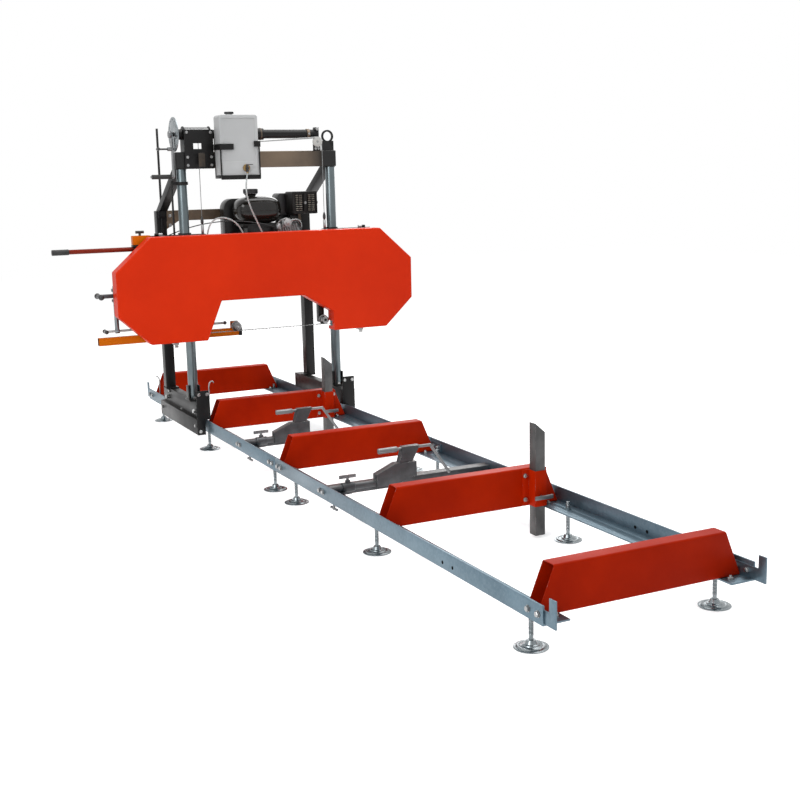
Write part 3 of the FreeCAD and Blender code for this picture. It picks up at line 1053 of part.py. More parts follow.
# Water hose: from the tap down behind the cover; its lower part is clipped to the saw head.
HOSE_FALL = [(-128, 3582, 1630), (-146, 3590, 1540), (-96, 3650, 1424), (-28, 3705, 1321), (10, 3716, 1240)]
HOSE_HEAD = [
    (10, 3716, 1237), (14, 3716, 1172), (-12, 3716, 1112), (-66, 3716, 1098), (-112, 3716, 1140),
    (-112, 3716, 1212), (-128, 3716, 1290), (-172, 3716, 1348), (-240, 3716, 1376), (-300, 3716, 1366),
    (-338, 3718, 1318), (-347, 3744, 1210), (-343, 3747, 1075), (-348, 3744, 945), (-344, 3747, 820),
    (-341, 3745, 768)]
node("water_hose", [cord("HoseFall", HOSE_FALL, S.HoseRadius, S.HoseBore)])
hose_head = cord("HoseHead", HOSE_HEAD, S.HoseRadius, S.HoseBore)

# Saw head: cross beam on two sleeves, blade tension cage, guide hangers, hinge arms, engine mount.
AXIS_Z = S.BladeHeight + S.BandRadius
beam_y = (S.HeadBeamFront, S.HeadBeamBack)
beam_z = (HEAD_BEAM_LOW, HEAD_BEAM_LOW + S.HeadBeamHigh)
mid_y = (S.HeadBeamFront + S.HeadBeamBack) / 2
wall = S.HeadBeamWall
core = [cut("HeadBeam", slab("HeadBeamOuter", (-S.HeadBeamLeft, S.HeadBeamRight), beam_y, beam_z),
             slab("HeadBeamInner", (-S.HeadBeamLeft - S.Overrun, S.HeadBeamRight + S.Overrun),
                  (beam_y[0] + wall, beam_y[1] - wall), (beam_z[0] + wall, beam_z[1] - wall)))]
bores = []
for side, word in ((-1, "Left"), (1, "Right")):
    at = (S.ColumnAcross * side, COLUMN_Y)
    core.append(rod("Sleeve" + word, "Z", at, (SLEEVE_LOW, SLEEVE_TOP), S.SleeveRadius2))
    bores.append(rod("SleeveBore" + word, "Z", at, (SLEEVE_LOW - S.Overrun, SLEEVE_TOP + S.Overrun),
                     S.ColumnRadius + S.SlideGap))
core.append(rod("DriveFlange", "Y", (S.BandAcross, AXIS_Z), (beam_y[1] - wall, beam_y[1] + S.FlangeThick),
                 S.FlangeRadius))
bores.append(rod("DriveBore", "Y", (S.BandAcross, AXIS_Z),
                 (beam_y[0] - S.Overrun, beam_y[1] + S.FlangeThick + S.Overrun), S.ShaftDrive + S.RunGap))
strap_x = (-S.StrapLeft, -S.StrapRight)
cage = [slab("StrapLow", strap_x, beam_y, (beam_z[0] - S.StrapThick, beam_z[0])),
        slab("StrapHigh", strap_x, beam_y, (beam_z[1], beam_z[1] + S.StrapThick))]
cage_x = (-S.StrapLeft - S.CagePlate, -S.StrapLeft)
cage.append(slab("CageEnd", cage_x, (beam_y[0], S.CageBack),
                  (beam_z[0] - S.StrapThick, beam_z[1] + S.StrapThick)))
bores.append(rod("ScrewHole", "X", (mid_y, AXIS_Z), (cage_x[0] - S.Overrun, cage_x[1] + S.Overrun),
                 S.ScrewRadius + S.RunGap))
arm_top = ARM_LOW + S.ArmHigh
arm_y = (S.ArmFront, S.ArmFront + S.ArmDeep)
lock_z = arm_top + S.LockAbove
lock_at = (S.LockBack, lock_z)
hang_x = -S.HangerAcross
cage.append(rod("HangerRod", "Z", (hang_x, S.LockBack), (lock_z, beam_z[1] + S.StrapThick), S.HangerRadius))
cage.append(slab("HangerTieTop", (hang_x, cage_x[0]), (S.LockBack - S.HangerRadius / 2, S.LockBack + S.HangerRadius / 2),
                  (beam_z[1] - S.HangerTie, beam_z[1] + S.StrapThick)))
cage.append(slab("HangerTieLow", (hang_x, cage_x[0]), (S.LockBack - S.HangerRadius / 2, S.LockBack + S.HangerRadius / 2),
                  (beam_z[0] - S.StrapThick, beam_z[0] + S.HangerTie)))
cage.append(rod("HangerEye", "X", lock_at, (hang_x - S.HangerEyeHalf, hang_x + S.HangerEyeHalf), S.HangerEye))
bores.append(rod("HangerEyeBore", "X", lock_at, (hang_x - S.HangerEyeHalf * 2, hang_x + S.HangerEyeHalf * 2),
                 S.LockRadius + S.RunGap))
gap = S.SlideGap
hangers = []
for word, across, top in (("Inner", S.HangerInner, beam_z[0]), ("Outer", S.HangerOuter, beam_z[0] - S.StrapThick)):
    xs = (-across - S.HangerHalf, -across + S.HangerHalf)
    grow = S.HangerWall + gap
    hangers.append([
        slab("Hanger" + word, xs, (arm_y[0] - grow, S.LockBack + S.LockRadius + S.HangerWall),
             (ARM_LOW - grow, lock_z + S.LockRadius + S.HangerWall)),
        slab("HangerPlate" + word, xs, (mid_y - S.HangerPlate / 2, mid_y + S.HangerPlate / 2), (lock_z, top))])
    bores.append(slab("HangerWindow" + word, (xs[0] - S.Overrun, xs[1] + S.Overrun),
                      (arm_y[0] - gap, arm_y[1] + gap), (ARM_LOW - gap, arm_top + gap)))
    bores.append(rod("HangerLockBore" + word, "X", lock_at, (xs[0] - S.Overrun, xs[1] + S.Overrun),
                     S.LockRadius + S.RunGap))
roller_z = S.BladeHeight + S.BladeThick + S.RollerRadius + S.SeatGap
post_x = (S.RollerRightAcross - S.GuidePostHalf, S.RollerRightAcross + S.GuidePostHalf)
guide = [slab("GuidePost", post_x, (arm_y[0] + S.GuidePostInset, arm_y[1]),
               (roller_z - S.GuidePostHalf, beam_z[0]))]
pin_y = (S.BandPlane - S.RollerLong / 2 - S.RunGap * 5, arm_y[0] + S.GuidePostInset)
guide.append(rod("GuidePinRight", "Y", (S.RollerRightAcross, roller_z), pin_y, S.RollerPin))
hinge_z = (HINGE_ARM_LOW, HINGE_ARM_LOW + S.HingeArmHigh)
hinge_y = (S.HingeArmFront, S.HingeArmFront + S.HingeArmDeep)
inner_left = -S.CableDropLeft + S.CableEar
inner_right = drop_right - S.CableEar
arms = {-1: [slab("HingeArmLeft", (-S.HingeArmLeft, inner_left), hinge_y, hinge_z)],
        1: [slab("HingeArmRight", (inner_right, S.HingeArmRight), hinge_y, hinge_z)]}
hinge_at = (S.HingeAxisBack, HINGE_HEIGHT)
for side, word in ((-1, "Left"), (1, "Right")):
    xs = ordered(side, S.HingeAcross + S.SeatGap, S.HingeAcross + S.HingeHalf)
    pin = ordered(side, S.HingeAcross - S.HingeHalf, S.HingeAcross + S.HingeHalf)
    arms[side].append(rod("Knuckle" + word, "X", hinge_at, xs, S.HingeRadius))
    arms[side].append(rod("HingePin" + word, "X", hinge_at, pin, S.HingePin))
    arms[side].append(slab("KnuckleFoot" + word, xs, (S.HingeAxisBack, S.HingeArmFront + S.HingeRadius),
                      (hinge_z[1] - S.HingeRadius, HINGE_HEIGHT)))
    xs = ordered(side, S.LatchAcross - S.LatchPostHalf, S.LatchAcross + S.LatchPostHalf)
    top = beam_z[0] if side > 0 else beam_z[0] - S.StrapThick
    (core if side > 0 else cage).append(slab("LatchPost" + word, xs, (S.LatchPostFront, S.LatchPostFront + S.LatchPostThick),
                      (LATCH_POST_LOW, top + S.StrapThick / 2)))
clamp_x = (-S.HingeArmLeft, -S.HandleClampRight)
handle_at = (S.HandleBack, HANDLE_HEIGHT)
arms[-1].append(rod("HandleClamp", "X", handle_at, clamp_x, S.HandleTube + S.HandleClampWall))
arms[-1].append(slab("HandleClampWeb", clamp_x, (S.HandleBack - S.HandleClampWall, S.HandleBack + S.HandleClampWall),
                  (HANDLE_HEIGHT, HINGE_ARM_LOW)))
bores.append(rod("HandleBore", "X", handle_at, (clamp_x[0] - S.Overrun, clamp_x[1] + S.Overrun),
                 S.HandleTube + gap))
knob_at = (-S.KnobAcross, S.HandleBack)
bores.append(rod("KnobHole", "Z", knob_at, (HANDLE_HEIGHT, hinge_z[1] + S.Overrun), S.KnobStem + S.RunGap))
mount_x = (-S.MountLeft, S.MountRight)
mount_z = (MOUNT_LOW, MOUNT_LOW + S.MountThick)
mount = [slab("EngineMount", mount_x, (beam_y[1] - wall, S.MountBack), mount_z)]
for number, x in enumerate((mount_x[0], mount_x[1] - S.MountWeb)):
    mount.append(prism("MountWeb%d" % number, "YZ", [
        (beam_y[1] - wall, beam_z[0] + wall), (beam_y[1], beam_z[0] + wall),
        (S.MountBack, MOUNT_LOW - S.MountTail), (S.MountBack, MOUNT_LOW), (beam_y[1] - wall, MOUNT_LOW)],
        (x, x + S.MountWeb)))
# Two clips hold the hose to the head.
clip_x = -S.ClipAcross
core.append(cut("HoseClipLow", slab("ClipLowBar", (clip_x - S.ClipHalf, clip_x + S.ClipHalf),
                                    (beam_y[1], S.ClipBack), (CLIP_LOW, CLIP_LOW + S.ClipHigh)), hose_head))
arms[-1].append(cut("HoseClipHigh", slab("ClipHighBar", (inner_left, -S.ClipTip), (S.ClipFront, S.ClipFront + S.ClipHigh),
                                         (hinge_z[0], hinge_z[0] + S.ClipHigh)), hose_head))
saw_head = [
    cut("SawHead", fuse("SawHeadBody", core), bores),
    cut("TensionCage", fuse("TensionCageBody", cage), bores),
    cut("HangerNear", fuse("HangerNearBody", hangers[0]), bores),
    cut("HangerFar", fuse("HangerFarBody", hangers[1]), bores),
    cut("GuideBracket", fuse("GuideBracketBody", guide), core[0]),
    cut("HingeArmNear", fuse("HingeArmNearBody", arms[-1]), bores + core[1:3]),
    cut("HingeArmFar", fuse("HingeArmFarBody", arms[1]), bores + core[1:3]),
    cut("EngineBed", fuse("EngineBedBody", mount), core[:3])]
turnbuckles = [rod("Turnbuckle%d" % i, "Z", (x, cable_y), (hinge_z[1], cable_low), S.TurnbuckleRadius)
               for i, x in enumerate((-S.CableDropLeft, drop_right))]
node("head_frame", saw_head + [hose_head] + turnbuckles)

# Cover: a folded tray over both band wheels, open at the back, with slots for the blade.
cover_outline = [
    (-S.CoverTopHalf, COVER_TOP), (-S.CoverHalf, COVER_SIDE_TOP), (-S.CoverHalf, COVER_SIDE_LOW),
    (-S.CoverFootOuter, COVER_LOW), (-S.CoverLeftInner, COVER_LOW), (-S.CoverLeftShoulder, COVER_MID),
    (S.CoverRightShoulder, COVER_MID), (S.CoverRightInner, COVER_RIGHT_KNEE),
    (S.CoverRightInner, COVER_LOW), (S.CoverFootOuter, COVER_LOW), (S.CoverHalf, COVER_SIDE_LOW),
    (S.CoverHalf, COVER_SIDE_TOP), (S.CoverTopHalf, COVER_TOP)]
# How far each inner corner lies from its outer one, in shares of the wall.
cover_inset_shares = [
    (0.38, -1.00), (1.00, -0.45), (1.00, 0.43), (0.40, 1.00), (-0.67, 1.00),
    (-0.67, 1.00), (0.27, 1.00), (1.00, 0.57), (1.00, 1.00), (-0.40, 1.00),
    (-1.00, 0.43), (-1.00, -0.45), (-0.38, -1.00)]
cover_inner = [(x + S.CoverWall * dx, z + S.CoverWall * dz)
               for (x, z), (dx, dz) in zip(cover_outline, cover_inset_shares)]
cover = [prism("CoverSheet", "XZ", cover_outline, (S.CoverFront, S.CoverFront + S.CoverWall))]
rim_y = (S.CoverFront + S.CoverWall, S.CoverBack)
slot_y = (S.BandPlane - S.BladeSlotFront, S.CoverBack + S.Overrun)
slot_z = (S.BladeHeight - S.BladeSlotHalf, S.BladeHeight + S.BladeSlotHalf)
slots = [slab("SlotLeft", (-S.SlotLeftEnd - S.SlotReach * 2, -S.SlotLeftEnd), slot_y, slot_z),
         slab("SlotRight", (S.CoverRightInner - S.SlotReach / 2, S.CoverRightInner + S.SlotReach / 2),
              slot_y, slot_z)]
for i, corner_at in enumerate(cover_outline):
    after = (i + 1) % len(cover_outline)
    strip = prism("Rim%d" % i, "XZ", [corner_at, cover_outline[after], cover_inner[after], cover_inner[i]], rim_y)
    cover.append(cut("RimSlotted%d" % i, strip, slots[i == 7]) if i in (4, 7) else strip)
latch_axis = (S.LatchAxisFront, COVER_LOW - S.LatchDrop)
for side, word in ((-1, "Left"), (1, "Right")):
    xs = ordered(side, S.HingeAcross - S.HingeHalf, S.HingeAcross)
    cover.append(cut("CoverHinge" + word, fuse("CoverHingeBody" + word, [
        rod("Barrel" + word, "X", hinge_at, xs, S.HingeRadius),
        slab("Leaf" + word, xs, (S.CoverBack - S.LatchTab, S.HingeAxisBack),
             (COVER_TOP, COVER_TOP + S.HingeLeaf))]),
        rod("BarrelBore" + word, "X", hinge_at, (xs[0] - S.SeatGap, xs[1] + S.SeatGap), S.HingePin + S.RunGap)))
    middle = S.LatchAcross * side
    reach = S.LatchHalf + S.SeatGap + S.LatchEar
    ears = [slab("Ear%s%d" % (word, number), (x, x + S.LatchEar),
                 (S.LatchAxisFront - S.LatchBarrel, S.LatchAxisFront + S.LatchBarrel),
                 (COVER_LOW - S.LatchDrop * 2, COVER_LOW))
            for number, x in enumerate((middle - reach, middle + reach - S.LatchEar))]
    cover.append(fuse("LatchEars" + word, ears + [
        rod("LatchPin" + word, "X", latch_axis, (middle - reach, middle + reach), S.LatchPin)]))
node("guard", cover)

hook_y = S.LatchPostFront + S.LatchPostThick + S.SeatGap
for side, word in ((-1, "left"), (1, "right")):
    title = word.capitalize()
    middle = S.LatchAcross * side
    xs = (middle - S.LatchHalf, middle + S.LatchHalf)
    low = COVER_LOW - S.LatchDrop - S.LatchBarrel
    latch = fuse("LatchBody" + title, [
        rod("LatchBarrel" + title, "X", latch_axis, xs, S.LatchBarrel),
        slab("LatchPlate" + title, xs, (S.LatchAxisFront, hook_y + S.LatchHookThick), (low, low + S.LatchThick)),
        slab("LatchHook" + title, xs, (hook_y, hook_y + S.LatchHookThick), (low, low + S.LatchHookHigh)),
        slab("LatchFoot" + title, xs, (S.LatchAxisFront - S.LatchBarrel, S.LatchAxisFront), (low, low + S.LatchThick)),
        slab("LatchTab" + title, xs, (S.LatchAxisFront - S.LatchBarrel, S.LatchAxisFront - S.LatchBarrel + S.LatchThick),
             (low - S.LatchTabLong, low + S.LatchThick))])
    bore = rod("LatchBore" + title, "X", latch_axis, (xs[0] - S.Overrun, xs[1] + S.Overrun),
               S.LatchPin + S.RunGap)
    node("latch_" + word, [cut("Latch" + title, latch, bore)])


# Band wheels, blade and blade tension.
def band_wheel(name, across, bore):
    front, back = S.BandPlane - S.BandWide / 2, S.BandPlane + S.BandWide / 2
    web0, web1 = S.BandPlane - S.BandWeb / 2, S.BandPlane + S.BandWeb / 2
    hub0, hub1 = S.BandPlane - S.BandHubLong / 2, S.BandPlane + S.BandHubLong / 2
    rim = S.BandRadius - S.BandRim
    return lathe(name, "Y", (across, AXIS_Z), [
        (bore, hub0), (S.BandHub, hub0), (S.BandHub, web0), (rim, web0), (rim, front),
        (S.BandRadius, front), (S.BandRadius, back), (rim, back), (rim, web1), (S.BandHub, web1),
        (S.BandHub, hub1), (bore, hub1)])


def groove_pulley(name, across, height, radius, middle):
    half, deep = S.PulleyThick / 2, S.PulleyGrooveDeep
    return lathe(name, "Y", (across, height), [
        (as_size(0), middle - half), (radius, middle - half), (radius, middle - deep),
        (radius - deep, middle - deep / 2), (radius - deep, middle + deep / 2),
        (radius, middle + deep), (radius, middle + half), (as_size(0), middle + half)])


belt_mid = S.PulleyBack + S.PulleyThick / 2
drive = fuse("DriveWheel", [
    band_wheel("DriveBand", S.BandAcross, S.ShaftDrive - S.SeatGap),
    rod("DriveShaft", "Y", (S.BandAcross, AXIS_Z), (S.BandPlane - S.BandHubLong / 2, S.ShaftEnd), S.ShaftDrive),
    groove_pulley("DrivePulleyBody", S.BandAcross, AXIS_Z, S.DrivePulley, belt_mid)])
node("drive_wheel", [drive])
node("idler_wheel", [band_wheel("IdlerWheel", -S.BandAcross, S.AxleRadius + S.RunGap)])
block_y = (mid_y - S.BlockDeep / 2, mid_y + S.BlockDeep / 2)
block_z = (AXIS_Z - S.BlockHigh / 2, AXIS_Z + S.BlockHigh / 2)
hub_front = S.BandPlane - S.BandHubLong / 2
node("tension_block", [fuse("TensionBlock", [
    slab("Block", (-S.BlockLeft, -S.BlockRight), block_y, block_z),
    rod("IdlerAxle", "Y", (-S.BandAcross, AXIS_Z), (hub_front - S.RunGap, block_y[0]), S.AxleRadius),
    rod("AxleCap", "Y", (-S.BandAcross, AXIS_Z), (hub_front - S.AxleHeadHigh, hub_front - S.RunGap),
        S.AxleRadius + S.AxleHeadHigh)])])
screw_at = (mid_y, AXIS_Z)
screw_end = -S.ScrewEnd
node("tension_handle", [fuse("TensionHandle", [
    rod("Screw", "X", screw_at, (screw_end, -S.BlockLeft - S.SeatGap), S.ScrewRadius),
    rod("ScrewSleeveBar", "X", screw_at, (screw_end, cage_x[0] - S.SeatGap), S.ScrewSleeve),
    rod("Tee", "Y", (screw_end, AXIS_Z), (mid_y - S.TeeHalf, mid_y + S.TeeHalf), S.TeeRadius),
    ball("TeeBallFront", (screw_end, mid_y - S.TeeHalf, AXIS_Z), S.TeeBall),
    ball("TeeBallBack", (screw_end, mid_y + S.TeeHalf, AXIS_Z), S.TeeBall)])])


def stadium(name, radius, y):
    parts = [slab(name + "Middle", (-S.BandAcross, S.BandAcross), y, (AXIS_Z - radius, AXIS_Z + radius))]
    for side, word in ((-1, "Left"), (1, "Right")):
        parts.append(rod(name + word, "Y", (S.BandAcross * side, AXIS_Z), y, radius))
    return fuse(name, parts)


blade_y = (S.BandPlane - S.BladeWide / 2, S.BandPlane + S.BladeWide / 2)
inside = S.BandRadius + S.SeatGap
node("blade", [cut("Blade", stadium("BladeOuter", inside + S.BladeThick, blade_y),
                   stadium("BladeInner", inside, (blade_y[0] - S.Overrun, blade_y[1] + S.Overrun)))])

# Guide arm: a square tube that slides in two hangers, with a flanged roller on its end.
arm_x = (-S.ArmLeft, -S.ArmRight)
arm = [cut("ArmTube", slab("ArmOuter", arm_x, arm_y, (ARM_LOW, arm_top)),
           slab("ArmInner", (arm_x[0] - S.Overrun, arm_x[1] - S.ArmCap),
                (arm_y[0] + S.ArmWall, arm_y[1] - S.ArmWall), (ARM_LOW + S.ArmWall, arm_top - S.ArmWall))),
       slab("ArmCap", (-S.ArmRight, -S.ArmRight + S.ArmCap), arm_y, (ARM_LOW, arm_top)),
       slab("RollerBlock", (-S.RollerLeftAcross - S.RollerBlockHalf, -S.RollerLeftAcross + S.RollerBlockHalf),
            (arm_y[0] + S.GuidePostInset, arm_y[0] + S.RollerBlockDeep), (arm_top, arm_top + S.RollerBlockHigh)),
       rod("GuidePinLeft", "Y", (-S.RollerLeftAcross, roller_z), pin_y, S.RollerPin)]
node("guide_arm", [fuse("GuideArm", arm)])


def guide_roller(name, across):
    front, back = S.BandPlane - S.RollerLong / 2, S.BandPlane + S.RollerLong / 2
    bore = S.RollerPin + S.RunGap
    return lathe(name, "Y", (across, roller_z), [
        (bore, front), (S.RollerRadius, front), (S.RollerRadius, back), (S.RollerFlange, back),
        (S.RollerFlange, back + S.RollerFlangeWide), (bore, back + S.RollerFlangeWide)])


node("roller_left", [guide_roller("RollerLeft", -S.RollerLeftAcross)])
node("roller_right", [guide_roller("RollerRight", S.RollerRightAcross)])
node("arm_lock", [fuse("ArmLock", [
    rod("LockRod", "X", lock_at, (-S.LockLeft, -S.LockRight), S.LockRadius),
    rod("LockTee", "Y", (-S.LockLeft, lock_z), (S.LockBack - S.LockTeeHalf, S.LockBack + S.LockTeeHalf),
        S.LockTeeRadius)])])

# Push handle and its clamping knob.
grip_right = -S.HandleReach + S.HandleGrip
node("push_handle", [
    rod("HandleBar", "X", handle_at, (grip_right, -S.HandleInner), S.HandleTube),
    rod("HandleGripBar", "X", handle_at, (-S.HandleReach, grip_right), S.HandleGripRadius)])
knob_z = hinge_z[1] + S.KnobRise
node("push_knob", [fuse("PushKnob", [
    rod("KnobStemBar", "Z", knob_at, (HANDLE_HEIGHT + S.HandleTube + S.SeatGap, knob_z), S.KnobStem),
    rod("KnobBar", "X", (S.HandleBack, knob_z), (-S.KnobAcross - S.KnobHalf, -S.KnobAcross + S.KnobHalf),
        S.KnobRadius)])])

# Engine: crankcase, cylinder head and blower housing on the mount.
case_x = (S.EngineAcross - S.CaseHalf, S.EngineAcross + S.CaseHalf)
crank_at = (S.EngineAcross, CRANK_HEIGHT)
mount_top = mount_z[1]
head_x = case_x[1] - S.HeadIn
engine = fuse("EngineBody", [
    rounded("Crankcase", case_x, (S.EngineFront, S.CaseBack), (mount_top, CASE_TOP), S.CaseRound, "Y"),
    rounded("Cowl", (-S.CowlLeft, S.CowlRight), (S.CaseBack, S.CowlBack), (COWL_LOW, COWL_TOP),
            S.CowlRound, "Y"),
    prism("CylinderHead", "XZ", [
        (head_x, CYLINDER_LOW), (head_x + S.HeadRun + S.HeadIn, CYLINDER_LOW + S.HeadRise),
        (head_x + S.HeadRun + S.HeadIn - S.HeadLean, CYLINDER_LOW + S.HeadRise + S.HeadThick),
        (head_x, CYLINDER_LOW + S.HeadThick + S.HeadRise / 2)], (S.HeadFront, S.HeadBack)),
    rod("CasePort", "Y", crank_at, (S.EngineFront - S.CasePortLong, S.EngineFront), S.CasePort),
    slab("Exhaust", (S.ExhaustLeft, S.ExhaustRight), (S.ExhaustFront, S.ExhaustBack), (EXHAUST_LOW, MUFFLER_LOW)),
    slab("Intake", (S.IntakeLeft, S.IntakeRight), (S.IntakeFront, S.IntakeBack), (INTAKE_LOW, AIR_LOW)),
    rod("StarterRing", "Y", crank_at, (S.CowlBack, S.CowlBack + S.RecoilDeep), S.RecoilRadius),
])
port = rod("PortBore", "Y", crank_at, (S.EngineFront - S.CasePortLong - S.Overrun, S.EngineFront + S.ShaftIn),
           S.OutShaft + S.RunGap)
case_room = [
    slab("CaseRoom", (case_x[0] + S.CaseWall, case_x[1] - S.CaseWall),
         (S.EngineFront + S.CaseWall, S.CaseBack + S.CaseWall), (mount_top - S.Overrun, CASE_TOP - S.CaseWall * 2)),
    slab("CowlRoom", (-S.CowlLeft + S.CaseWall * 2, S.CowlRight - S.CaseWall * 2),
         (S.CaseBack + S.CaseWall / 2, S.CowlBack - S.CaseWall / 2),
         (COWL_LOW + S.CaseWall * 2, COWL_TOP - S.CaseWall * 2))]
lever_at = (S.LeverAcross, LEVER_HEIGHT)
lever_pin = rod("LeverPinBar", "Y", lever_at, (S.LeverFront - S.LeverThick, S.EngineFront), S.LeverPin)
node("engine_block", [fuse("Engine", [cut("EngineBored", engine, [port] + case_room), lever_pin])])
node("engine_pulley", [fuse("EnginePulley", [
    groove_pulley("OutPulleyBody", S.EngineAcross, CRANK_HEIGHT, S.OutPulley, belt_mid),
    rod("OutShaftBar", "Y", crank_at, (S.PulleyBack, S.EngineFront + S.ShaftIn - S.SeatGap), S.OutShaft)])])


def belt_loop(name, radii, y):
    """Two round ends and the flat between their outer tangents."""
    (x0, z0), (x1, z1) = (S.EngineAcross, CRANK_HEIGHT), (S.BandAcross, AXIS_Z)
    run, drop = (x1 - x0).value, (z1 - z0).value
    small, large = radii
    tilt = math.atan2(drop, run)
    spread = math.acos((small.value - large.value) / math.hypot(run, drop))
    corners = []
    for (x, z), radius in (((x0, z0), small), ((x1, z1), large)):
        for sign in (1, -1):
            angle = tilt + sign * spread
            corners.append(Vector(x.value + radius.value * math.cos(angle), y[0].value,
                                  z.value + radius.value * math.sin(angle)))
    ring = [corners[0], corners[2], corners[3], corners[1], corners[0]]
    flat = Part.Face(Part.makePolygon(ring)).extrude(Vector(0, y[1].value - y[0].value, 0))
    obj = doc.addObject("Part::Feature", name + "Flat")
    obj.Shape = flat
    return fuse(name, [obj, rod(name + "Small", "Y", (x0, z0), y, small), rod(name + "Large", "Y", (x1, z1), y, large)])


belt_y = (belt_mid - S.BeltWide / 2, belt_mid + S.BeltWide / 2)
belt_in = (S.OutPulley + S.SeatGap, S.DrivePulley + S.SeatGap)
belt_out = (belt_in[0] + S.BeltThick, belt_in[1] + S.BeltThick)
node("belt", [cut("Belt", belt_loop("BeltOuter", belt_out, belt_y),
                  belt_loop("BeltInner", belt_in, (belt_y[0] - S.Overrun, belt_y[1] + S.Overrun)))])

fuel = rounded("FuelShell", (-S.FuelLeft, S.FuelRight), (S.FuelFront, S.FuelBack), (CASE_TOP, FUEL_TOP),
               S.FuelRound, "Y")
fuel_at = (S.FuelCapAcross, S.FuelCapBack)
neck_top = FUEL_TOP + S.FuelNeckHigh
fuel_wall = S.FuelWall
fuel_room = rounded("FuelRoom", (-S.FuelLeft + fuel_wall, S.FuelRight - fuel_wall),
                    (S.FuelFront + fuel_wall, S.FuelBack - fuel_wall), (CASE_TOP + fuel_wall, FUEL_TOP - fuel_wall),
                    S.FuelRound - fuel_wall, "Y")
fuel_mouth = rod("FuelMouth", "Z", fuel_at, (FUEL_TOP - fuel_wall - S.Overrun, neck_top + S.Overrun),
                 S.FuelNeckUpper - fuel_wall)
node("fuel_tank", [cut("FuelTank", fuse("FuelTankBody", [fuel, cone(
    "FuelNeck", "Z", fuel_at, (FUEL_TOP, neck_top), S.FuelNeck, S.FuelNeckUpper)]), [fuel_room, fuel_mouth])])
node("fuel_cap", [rod("FuelCap", "Z", fuel_at, (neck_top + S.SeatGap, neck_top + S.SeatGap + S.FuelCapHigh),
                      S.FuelCapRadius)])
muffler = rounded("MufflerShell", (S.MuffLeft, S.MuffRight), (S.MuffFront, S.MuffBack),
                  (MUFFLER_LOW, MUFFLER_TOP), S.MuffRound, "Y")
muff_slots = []
for number in range(8):
    x = S.MuffLeft + S.SlotInset + S.SlotPitch * number
    muff_slots.append(slab("MuffSlot%d" % number, (x, x + S.SlotWide), (S.MuffFront - S.Overrun, S.MuffFront + S.SlotDeep),
                           (MUFFLER_LOW + S.SlotInset, MUFFLER_TOP - S.SlotInset)))
muff_slots.append(slab("MuffRoom", (S.MuffLeft + S.MuffWall, S.MuffRight - S.MuffWall),
                       (S.MuffFront + S.MuffWall, S.MuffBack - S.MuffWall),
                       (MUFFLER_LOW + S.MuffWall, MUFFLER_TOP - S.MuffWall)))
node("muffler", [cut("Muffler", muffler, muff_slots)])
node("air_cleaner", [rounded("AirCleaner", (S.AirLeft, S.AirRight), (S.AirFront, S.AirBack),
                             (AIR_LOW, AIR_TOP), S.AirRound, "Y")])
lever_y = (S.LeverFront - S.LeverThick, S.LeverFront)
throttle = fuse("ThrottleBody", [
    rod("LeverHub", "Y", lever_at, lever_y, S.LeverWide),
    slab("LeverBar", (S.LeverAcross - S.LeverWide / 2, S.LeverAcross + S.LeverWide / 2), lever_y,
         (LEVER_HEIGHT - S.LeverLong, LEVER_HEIGHT)),
    rod("LeverKnobBar", "Y", (S.LeverAcross, LEVER_HEIGHT - S.LeverLong),
        (S.LeverFront - S.LeverThick * 3, S.LeverFront), S.LeverKnob)])
node("throttle", [cut("Throttle", throttle, rod(
    "LeverBore", "Y", lever_at, (lever_y[0] - S.Overrun, lever_y[1] + S.Overrun), S.LeverPin + S.RunGap))])
recoil_at = (S.CowlBack + S.SeatGap + S.RecoilGrip, RECOIL_HEIGHT)
node("recoil", [rod("RecoilGripBar", "X", recoil_at,
                    (S.RecoilAcross - S.RecoilGripLong / 2, S.RecoilAcross + S.RecoilGripLong / 2), S.RecoilGrip)])

# Build, test and write every piece.
doc.recompute()
for obj in doc.Objects:
    if "Invalid" in obj.State or "Error" in obj.State:
        raise RuntimeError("%s is %s" % (obj.Name, obj.State))
os.makedirs("parts", exist_ok=True)
low = [min(n.Shape.BoundBox.XMin for n in nodes), min(n.Shape.BoundBox.YMin for n in nodes),
       min(n.Shape.BoundBox.ZMin for n in nodes)]
high = [max(n.Shape.BoundBox.XMax for n in nodes), max(n.Shape.BoundBox.YMax for n in nodes),
        max(n.Shape.BoundBox.ZMax for n in nodes)]
for piece in nodes:
    if piece.Shape.isNull() or not piece.Shape.isValid():
        raise RuntimeError(piece.Label + " has no valid shape")
    for solid in piece.Shape.Solids:
        if solid.Volume <= 0:
            raise RuntimeError(piece.Label + " has an empty solid")
    piece.Shape.exportStep(os.path.join("parts", piece.Label + ".step"))
    print(piece.Label, len(piece.Shape.Solids), "solids", round(piece.Shape.Volume / 1000), "cm3")
print(len(nodes), "pieces; box", [round(v, 1) for v in low], [round(v, 1) for v in high])
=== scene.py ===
# %% [markdown]
# # A portable band sawmill
# A long steel track, a carriage that rolls on it, and a saw head that climbs two
# columns. The CAD model gives every piece its size and place; this lesson dresses
# it: paint, zinc, cast metal, plastic, and the small parts that repeat.
# Everything is in metres, in the same frame as the CAD model.

